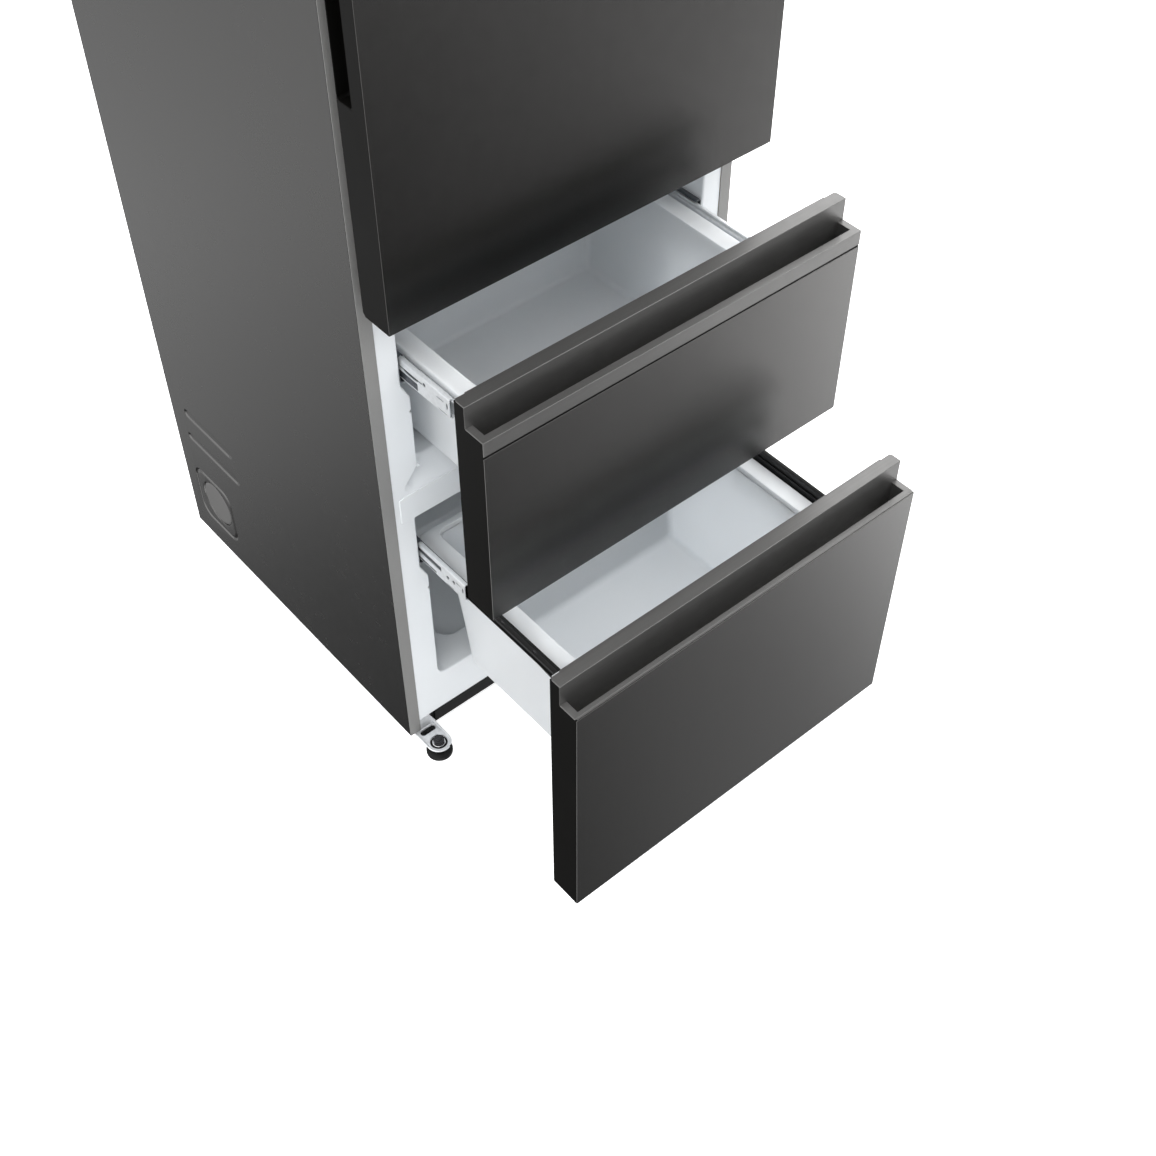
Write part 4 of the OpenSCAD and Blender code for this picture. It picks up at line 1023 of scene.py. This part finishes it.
def base_rail():
    bm = bmesh.new()
    out = [(0, 24.2), (0.5, 23.2), (1.4, 23), (12, 23), (12, 24.4), (1.5, 24.5), (1.5, 46.6), (12, 46.6), (12, 48), (1.2, 48), (0.4, 47.7), (0, 46.8)]
    add_prism(bm, out, "x", -250.9, 250.9)
    ob = finish_mesh(bm, "base_rail_channel", M["blacksteel"], "cabinet", sharp=35)
    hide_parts("front_base_rail")
    bm = bmesh.new()
    for s in (-1, 1):
        a = sorted((s * 296.0, s * 244.0))
        add_box(bm, a[0], a[1], 3.6, 4.8, 26.4, 48.0)
    soften(bm, 0.3, 1)
    finish_mesh(bm, "base_rail_tongues", M["blacksteel"], "cabinet", sharp=35)


base_rail()


def bracket():
    bm = bmesh.new()
    top, bot = 24.5, 21.6
    for s in (-1, 1):
        X = s * 271.0
        Y = -34.0

        def nose(d):
            """Tongue with a round nose and a small notch in it, inset by d."""
            r = 19.5 - d
            arc = []
            for i in range(1, 36):
                t = 180 + 5 * i
                q = r - (1.5 if 292 <= t <= 300 else 0)
                arc.append((X + q * math.cos(math.radians(t)), Y + q * math.sin(math.radians(t))))
            return [(X - r, 70), (X - r, Y)] + arc + [(X + r, Y), (X + r, 70)]
        hole = [(X + p[0], Y + p[1]) for p in circle(13.2, 40)]
        slot = rr(X - 13, -12, X + 13, -1.5, 4.5, 5)
        edge = [ring(bm, xy(nose(d), z)) for d, z in ((3.4, top), (2.8, top + 0.45), (2.0, top + 1.05), (1.1, top + 1.15), (0.35, top + 0.6), (0.0, top - 0.2), (0.3, top - 1.1), (1.5, bot + 0.7), (1.7, bot))]
        for a, b in zip(edge, edge[1:]):
            bridge(bm, a, b)
        h0 = [ring(bm, xy([(X + p[0] * q, Y + p[1] * q) for p in circle(13.2, 40)], z)) for q, z in ((1.09, top), (1.04, top - 0.15), (1.0, top - 0.6), (1.0, bot))]
        for a, b in zip(h0, h0[1:]):
            bridge(bm, a, b)
        q0 = [ring(bm, xy(slot, z)) for z in (top, bot)]
        bridge(bm, q0[0], q0[1])
        fill(bm, [edge[0], h0[0], q0[0]])
        fill(bm, [edge[-1], h0[-1], q0[1]])
    for s in (-1, 1):
        # upright tab with a rounded bend at its foot
        a, b = s * 278.8, s * 251.2
        c = s * 261.5
        add_prism(bm, [(a, 21.6), (b, 21.6), (b, 26), (c, 48), (a, 48)], "y", 0.0, 2.5)
    ob = finish_mesh(bm, "levelling_brackets", M["plate"], "cabinet", sharp=35)
    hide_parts("foot_brackets")
    # what fills the two openings: a washer round the foot's stem, a screw in the slot, and a black plate under the slot
    # that paints the shadow seen through it
    bm = bmesh.new()
    for s in (-1, 1):
        X, Y = s * 271.0, -34.0
        lathe(bm, [(4.95, 20.3), (13.0, 20.3), (13.0, 21.7), (4.95, 21.7), (4.95, 20.3)], (X, Y, 0), "z", 40)
        # black plate under the slot: painted shadow
        add_box(bm, X - 16, X + 16, -14, 0, 19.8, 21.5)
        lathe(bm, [(0, 25.6), (2.2, 25.5), (3.8, 24.6), (4.3, 23.2), (4.3, 21.4), (0, 21.4)], (X, -6.8, 0), "z", 24)
    finish_mesh(bm, "bracket_washers_and_shadow_plates", M["rubber"], "cabinet", sharp=35)
    bm = bmesh.new()
    for s in (-1, 1):
        lathe(bm, [(5.0, 21.75), (9.6, 21.75), (9.9, 22.0), (9.9, 23.9), (9.5, 24.3), (5.0, 24.3), (5.0, 21.75)], (s * 271.0, -34.0, 0), "z", 40)
    finish_mesh(bm, "bracket_nuts", M["chrome"], "cabinet", sharp=35)


bracket()


# ------------------------------------------------------------------ slides
def slides():
    w = 248.0
    # middle members: rolled C sections with their holes
    for pre, z, ya, yb, body in (("upper", 712, -10.5 - UO / 2, 372 - UO / 2, "upper_middle"), ("lower", 390, 65 - LO / 2, 400 - LO / 2, "lower_middle")):
        bm = bmesh.new()
        for s in (-1, 1):
            xo = w - 3.0
            h = 16.0
            out = [(xo, -h + 3), (xo - 0.9, -h + 0.9), (xo - 3, -h), (xo - 5.6, -h), (xo - 6.5, -h + 0.9), (xo - 6.5, -h + 3.0), (xo - 5.4, -h + 3.0), (xo - 5.4, -h + 1.3), (xo - 3.2, -h + 1.2),
                   (xo - 1.9, -h + 2.0), (xo - 1.2, -h + 3.4)]
            prof = out + [(p[0], -p[1]) for p in reversed(out)]
            prof = [(s * p[0], z + p[1]) for p in prof]
            add_prism(bm, prof, "y", ya, yb)
        base = finish_mesh(bm, "t", None, None)
        cutters = []
        if pre == "upper":
            holes = ((ya + 4.6, z + 2.7, 1.7, 5.2), (ya + 17.7, z + 6, 7.5, 1.3), (ya + 49, z + 6.6, 3.0, 3.0), (ya + 76, z + 3, 15, 2.4), (ya + 14, z - 11, 9, 1.1), (ya + 190, z, 9, 3.2))
            win = (-30, 60, z - 15.2, z - 1)
            top_win = (-40, 60, z + 3.6, z + 6.2)
        else:
            holes = ((ya + 4.6, z + 2.7, 1.7, 5.2), (ya + 14, z + 7, 6.5, 1.2), (-71, z + 2.7, 3.0, 3.0), (-58, z + 1.5, 3.0, 3.0), (-63, z - 11.5, 8, 1.1), (ya + 190, z, 9, 3.2))
            win = (-32, 62, z - 15.2, z - 8)
            top_win = (-44, 62, z + 0.5, z + 9.5)
        for s in (-1, 1):
            span = sorted((s * (w - 7.2), s * (w + 2)))
            for hy, hz, ry, rz in holes:
                b = bmesh.new()
                add_prism(b, [(hy + ry * p[0], hz + rz * p[1]) for p in circle(1, 24)], "x", w - 4.6 if s > 0 else -w - 2, w + 2 if s > 0 else -w + 4.6)
                cutters.append(b)
            b = bmesh.new()      # rounded lower front corner
            cr = 6.5
            arc = [(ya + cr - cr * math.cos(math.radians(10 * i)), z - 16 + cr - cr * math.sin(math.radians(10 * i))) for i in range(10)]
            add_prism(b, arc + [(ya + cr, z - 17), (ya - 1, z - 17), (ya - 1, z - 16 + cr)], "x", *span)
            cutters.append(b)
            for q in (win, top_win):
                b = bmesh.new()
                add_prism(b, rr(q[0], q[2], q[1], q[3], 1.25, 4), "x", w - 4.6 if s > 0 else -w - 2, w + 2 if s > 0 else -w + 4.6)
                cutters.append(b)
        cut(base, cutters)
        bm = to_bm(base)
        ob = finish_mesh(bm, pre + "_middle_members", M["zinc"], body, sharp=35)
        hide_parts(pre + "_slide_middle")
        # ball cage behind the window; its dark steel is partly the cage's own tone and partly painted shade of the
        # recess there
        bm = bmesh.new()
        for s in (-1, 1):
            a = sorted((s * (w - 5.4), s * (w - 4.5)))
            add_box(bm, a[0], a[1], win[0] - 14, win[1] + 6, z - 14.2, z + 11)
            for i in range(6):
                lathe(bm, [(0, s * 1.0), (1.2, s * 0.8), (1.9, s * 0.2), (2.0, 0), (0, 0)], (s * (w - 4.5), win[0] + 9 + i * 15, z - (8 if pre == "upper" else 11.5)), "x", 14)
            a = sorted((s * (w - 5.6), s * (w - 4.7)))
            add_box(bm, a[0], a[1], ya + 1, ya + 9, z - 5, z + 9)
        finish_mesh(bm, pre + "_ball_cage", M["cage"], body, sharp=35)
    # cabinet members, in the darker copy of the zinc that paints the shade they sit in
    bm = bmesh.new()
    for z in (712, 390):
        for s in (-1, 1):
            xo = w - 0.1
            h = 21.5
            out = [(xo, -h + 3.5), (xo - 1, -h + 1), (xo - 3.4, -h), (xo - 7, -h), (xo - 7.9, -h + 0.9), (xo - 7.9, -h + 3.4), (xo - 6.8, -h + 3.4), (xo - 6.8, -h + 1.3), (xo - 3.6, -h + 1.3),
                   (xo - 2.0, -h + 2.2), (xo - 1.2, -h + 3.8)]
            prof = out + [(p[0], -p[1]) for p in reversed(out)]
            add_prism(bm, [(s * p[0], z + p[1]) for p in prof], "y", 4, 404)
            for y in (40, 200, 360):
                lathe(bm, [(0, -s * 1.1), (2.6, -s * 1.0), (4, -s * 0.5), (4.2, 0), (0, 0)], (s * (xo - 1.2), y, z), "x", 20)
    ob = finish_mesh(bm, "cabinet_members", M["zinc_painted_shade"], "cabinet", sharp=35)
    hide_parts("slide_cabinet_members")
    # drawer members with shelf and screws
    for pre, e, z, rim, mt, sl, body in (("upper", UE, 712, 726, "zinc", "zinc", "upper_drawer"), ("lower", LE, 390, 386, "blacksteel", "black_steel", "lower_drawer")):
        y0 = -e + 12.1
        y1 = y0 + 352
        bm = bmesh.new()
        for s in (-1, 1):
            xi, h = 235.0, 12.0
            out = [(xi, -h + 2.6), (xi + 0.8, -h + 0.7), (xi + 2.4, -h), (xi + 6.0, -h), (xi + 6.0, -h + 1.2), (xi + 2.6, -h + 1.2), (xi + 1.2, -h + 2.9)]
            prof = out + [(p[0], -p[1]) for p in reversed(out)]
            add_prism(bm, [(s * p[0], z + p[1]) for p in prof], "y", y0, y1)
            # folded shelf that carries the rim
            sh = [(232.7, rim - 11.7), (213, rim - 11.7), (212.6, rim - 11.3), (212.6, rim - 10.1), (213, rim - 9.7), (233.2, rim - 9.7), (234, rim - 10.2)]
            add_prism(bm, [(s * p[0], p[1]) for p in sh], "y", y0, y1)
            top = max(rim - 9.7, z + 2)
            a = sorted((s * 235.1, s * 232.7))
            add_prism(bm, [(y0, z - 34), (y0 + 150, z - 17), (y0 + 186, z - 15), (y1, z - 15), (y1, top), (y0, top)], "x", a[0], a[1])
            a = sorted((s * 233, s * 231))
            add_box(bm, a[0], a[1], y0, y0 + 12, z - 42, rim - 9.9)
            a = sorted((s * 233, s * 206.2))
            add_box(bm, a[0], a[1], y0, y0 + 2, z - 42, rim - 9.9)
            for y in (y0 + 40, y0 + 92, y0 + 157, y0 + 250):
                lathe(bm, [(0, s * 1.6), (1.6, s * 1.6), (2.8, s * 1.2), (3.6, s * 0.5), (3.7, 0), (0, 0)], (s * 236.1, y, z), "x", 20)
        ob = finish_mesh(bm, pre + "_drawer_members", M[mt], body, sharp=35)
        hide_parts(pre + "_drawer_rails")
        bm = bmesh.new()
        for s in (-1, 1):
            for y in (y0 + 92, y0 + 157):
                lathe(bm, [(0, s * 1.9), (0.9, s * 2.2), (2.2, s * 1.9), (2.9, s * 1.4), (3.0, s * 1.0)], (s * 236.1, y, z), "x", 20)
        finish_mesh(bm, pre + "_rail_screws", M["chrome" if pre == "upper" else "boltblack"], body, sharp=35)


slides()


# ------------------------------------------------------------------ stage and light
def stage():
    bm = bmesh.new()
    n = 24
    R0 = 14.0
    verts = [bm.verts.new((R0 * math.cos(2 * math.pi * i / 64), R0 * math.sin(2 * math.pi * i / 64), 0)) for i in range(64)]
    bm.faces.new(verts)
    me = bpy.data.meshes.new("floor")
    bm.to_mesh(me)
    bm.free()
    ob = bpy.data.objects.new("floor", me)
    bpy.context.scene.collection.objects.link(ob)
    N = Nodes("floor_paper")
    p = principled(N, 0.0, 0.1)
    b = noise(N, coords(N), 3, 2)
    N.link(tint(N, b, (0.93, 0.93, 0.93), (0.95, 0.95, 0.95)), p.inputs["Base Color"])
    p.inputs["Roughness"].default_value = 0.9
    p.inputs["Emission Color"].default_value = (1, 1, 1, 1)
    p.inputs["Emission Strength"].default_value = 0.72
    me.materials.append(N.mat)
    return ob


floor = stage()
floor.visible_glossy = False
floor.visible_diffuse = False


def area(name, loc, target, size, size_y, power, color=(1, 1, 1), glossy=False):
    d = bpy.data.lights.new(name, "AREA")
    d.shape = "RECTANGLE"
    d.size, d.size_y = size, size_y
    d.energy = power
    d.color = color
    o = bpy.data.objects.new(name, d)
    bpy.context.scene.collection.objects.link(o)
    o.location = loc
    o.rotation_euler = (Vector(target) - Vector(loc)).to_track_quat("-Z", "Y").to_euler()
    o.visible_glossy = glossy
    return o


area("overhead", (0.3, -0.9, 4.4), (0, 0, 0.5), 3.6, 3.6, 30)
area("right_wall", (4.2, -1.8, 2.0), (0.1, -0.2, 0.6), 3.4, 3.4, 26)

FRONT_LEVELS = [(0.30, 0.12), (0.36, 0.15), (0.41, 0.175), (0.44, 0.245), (0.47, 0.365), (0.50, 0.48), (0.53, 0.49), (0.56, 0.50), (0.58, 0.70), (0.60, 0.99), (0.62, 1.38), (0.64, 1.97), (0.66, 2.9), (0.69, 4.2), (0.74, 4.6), (0.82, 2.0), (1.0, 1.0)]
SIDE_LEVELS = [(-1.0, 0.03), (-0.80, 0.07), (-0.76, 0.105), (-0.74, 0.10), (-0.72, 0.14), (-0.70, 0.26), (-0.68, 0.36), (-0.65, 0.40), (-0.62, 0.45), (-0.59, 0.57), (-0.56, 0.61), (-0.40, 0.52), (0.0, 0.45)]
UP_LEVELS = [(0.0, 0.8), (0.44, 0.9), (0.50, 0.9), (0.56, 0.60), (0.59, 0.66), (0.605, 1.5), (0.62, 3.1), (0.64, 4.0), (0.70, 3.4), (0.82, 1.2), (1.0, 0.9)]

world = bpy.data.worlds.new("world")
bpy.context.scene.world = world
world.use_nodes = True
wt = world.node_tree
wt.nodes.clear()


def wn(kind, **props):
    n = wt.nodes.new(kind)
    for k, v in props.items():
        setattr(n, k, v)
    return n


def wmath(op, a, b=None, clamp=False):
    n = wn("ShaderNodeMath", operation=op, use_clamp=clamp)
    for i, v in enumerate((a, b)):
        if v is None:
            continue
        if isinstance(v, (int, float)):
            n.inputs[i].default_value = v
        else:
            wt.links.new(v, n.inputs[i])
    return n.outputs[0]


def wsmooth(v, a, b):
    """0 at a, 1 at b, eased."""
    n = wn("ShaderNodeMapRange", interpolation_type="SMOOTHSTEP")
    n.inputs["From Min"].default_value = min(a, b)
    n.inputs["From Max"].default_value = max(a, b)
    n.inputs["To Min"].default_value = 0.0 if a < b else 1.0
    n.inputs["To Max"].default_value = 1.0 if a < b else 0.0
    wt.links.new(v, n.inputs["Value"])
    return n.outputs["Result"]


def wlevels(v, stops, top=6.0):
    """Brightness along v, from (value, brightness) stops."""
    a, b = stops[0][0], stops[-1][0]
    m = wn("ShaderNodeMapRange")
    m.inputs["From Min"].default_value = a
    m.inputs["From Max"].default_value = b
    wt.links.new(v, m.inputs["Value"])
    r = wn("ShaderNodeValToRGB")
    el = r.color_ramp.elements
    while len(el) < len(stops):
        el.new(0.5)
    for e_, (x_, y_) in zip(el, stops):
        e_.position = (x_ - a) / (b - a)
        e_.color = (y_ / top, y_ / top, y_ / top, 1)
    wt.links.new(m.outputs["Result"], r.inputs["Fac"])
    return wmath("MULTIPLY", r.outputs["Color"], top)


def wmix(f, a, b):
    n = wn("ShaderNodeMix", data_type="FLOAT")
    for i, v in ((0, f), (2, a), (3, b)):
        if isinstance(v, (int, float)):
            n.inputs[i].default_value = v
        else:
            wt.links.new(v, n.inputs[i])
    return n.outputs[0]


# a studio of large soft panels: what polished and brushed faces mirror is set by direction
gen = wn("ShaderNodeTexCoord").outputs["Generated"]
sep = wn("ShaderNodeSeparateXYZ")
wt.links.new(gen, sep.inputs[0])
RX, RY, RZ = sep.outputs[0], sep.outputs[1], sep.outputs[2]
s_ = wmath("SUBTRACT", RX, wmath("MULTIPLY", wmath("ADD", RZ, 0.64), 0.36))
front_lv = wmath("MULTIPLY", wlevels(s_, FRONT_LEVELS), wmix(wsmooth(RZ, -0.70, -0.77), 1.0, 0.76))
side_lv = wlevels(RZ, SIDE_LEVELS)
up_lv = wlevels(wmath("ADD", RX, wmath("MULTIPLY", wmath("SUBTRACT", RZ, 0.58), 0.33)), UP_LEVELS)
rim_lv = wmix(wsmooth(RY, 0.05, -0.25), side_lv, 1.8)
front_lv = wmix(wsmooth(RY, -0.06, -0.26), side_lv, front_lv)
down = wmix(wsmooth(RX, 0.06, -0.06), front_lv, rim_lv)
level = wlevels(RX, [(-1.0, 1.5), (-0.72, 1.5), (-0.58, 0.62), (-0.3, 0.5), (0.0, 0.5), (0.45, 0.62), (0.8, 1.0), (1.0, 1.0)])
down = wmix(wsmooth(RZ, -0.54, -0.38), down, level)
up_lv = wmath("MULTIPLY", up_lv, wmix(wsmooth(RX, 0.50, 0.60), 1.0, wlevels(RZ, [(0.50, 1.55), (0.565, 1.55), (0.60, 1.02), (0.66, 0.95), (0.70, 0.74), (0.80, 0.7)], 2.0)))
sky = wmix(wsmooth(RX, 0.30, 0.42), wmix(wsmooth(RX, -0.30, -0.55), 0.75, 1.9), up_lv)
sky = wmix(wsmooth(RZ, 0.22, 0.5), level, sky)
mirror = wmix(wsmooth(RZ, -0.05, 0.2), down, sky)
lp = wn("ShaderNodeLightPath")
soft = wmix(wsmooth(RZ, 0.0, 0.7), wmix(wsmooth(RX, -0.8, 0.6), 0.60, 0.92), 2.35)
soft = wmix(wsmooth(RZ, 0.0, -0.3), soft, 1.05)
lit = wmix(lp.outputs["Is Glossy Ray"], soft, mirror)
lit = wmix(lp.outputs["Is Camera Ray"], lit, 1.0)
bg = wn("ShaderNodeBackground")
bg.inputs["Color"].default_value = (0.99, 0.995, 1.0, 1)
wt.links.new(lit, bg.inputs["Strength"])
wo = wn("ShaderNodeOutputWorld")
wt.links.new(bg.outputs[0], wo.inputs["Surface"])

sc = bpy.context.scene
sc.view_settings.view_transform = "Standard"
sc.view_settings.look = "None"
sc.view_settings.exposure = 0.0
sc.view_settings.gamma = 1.0
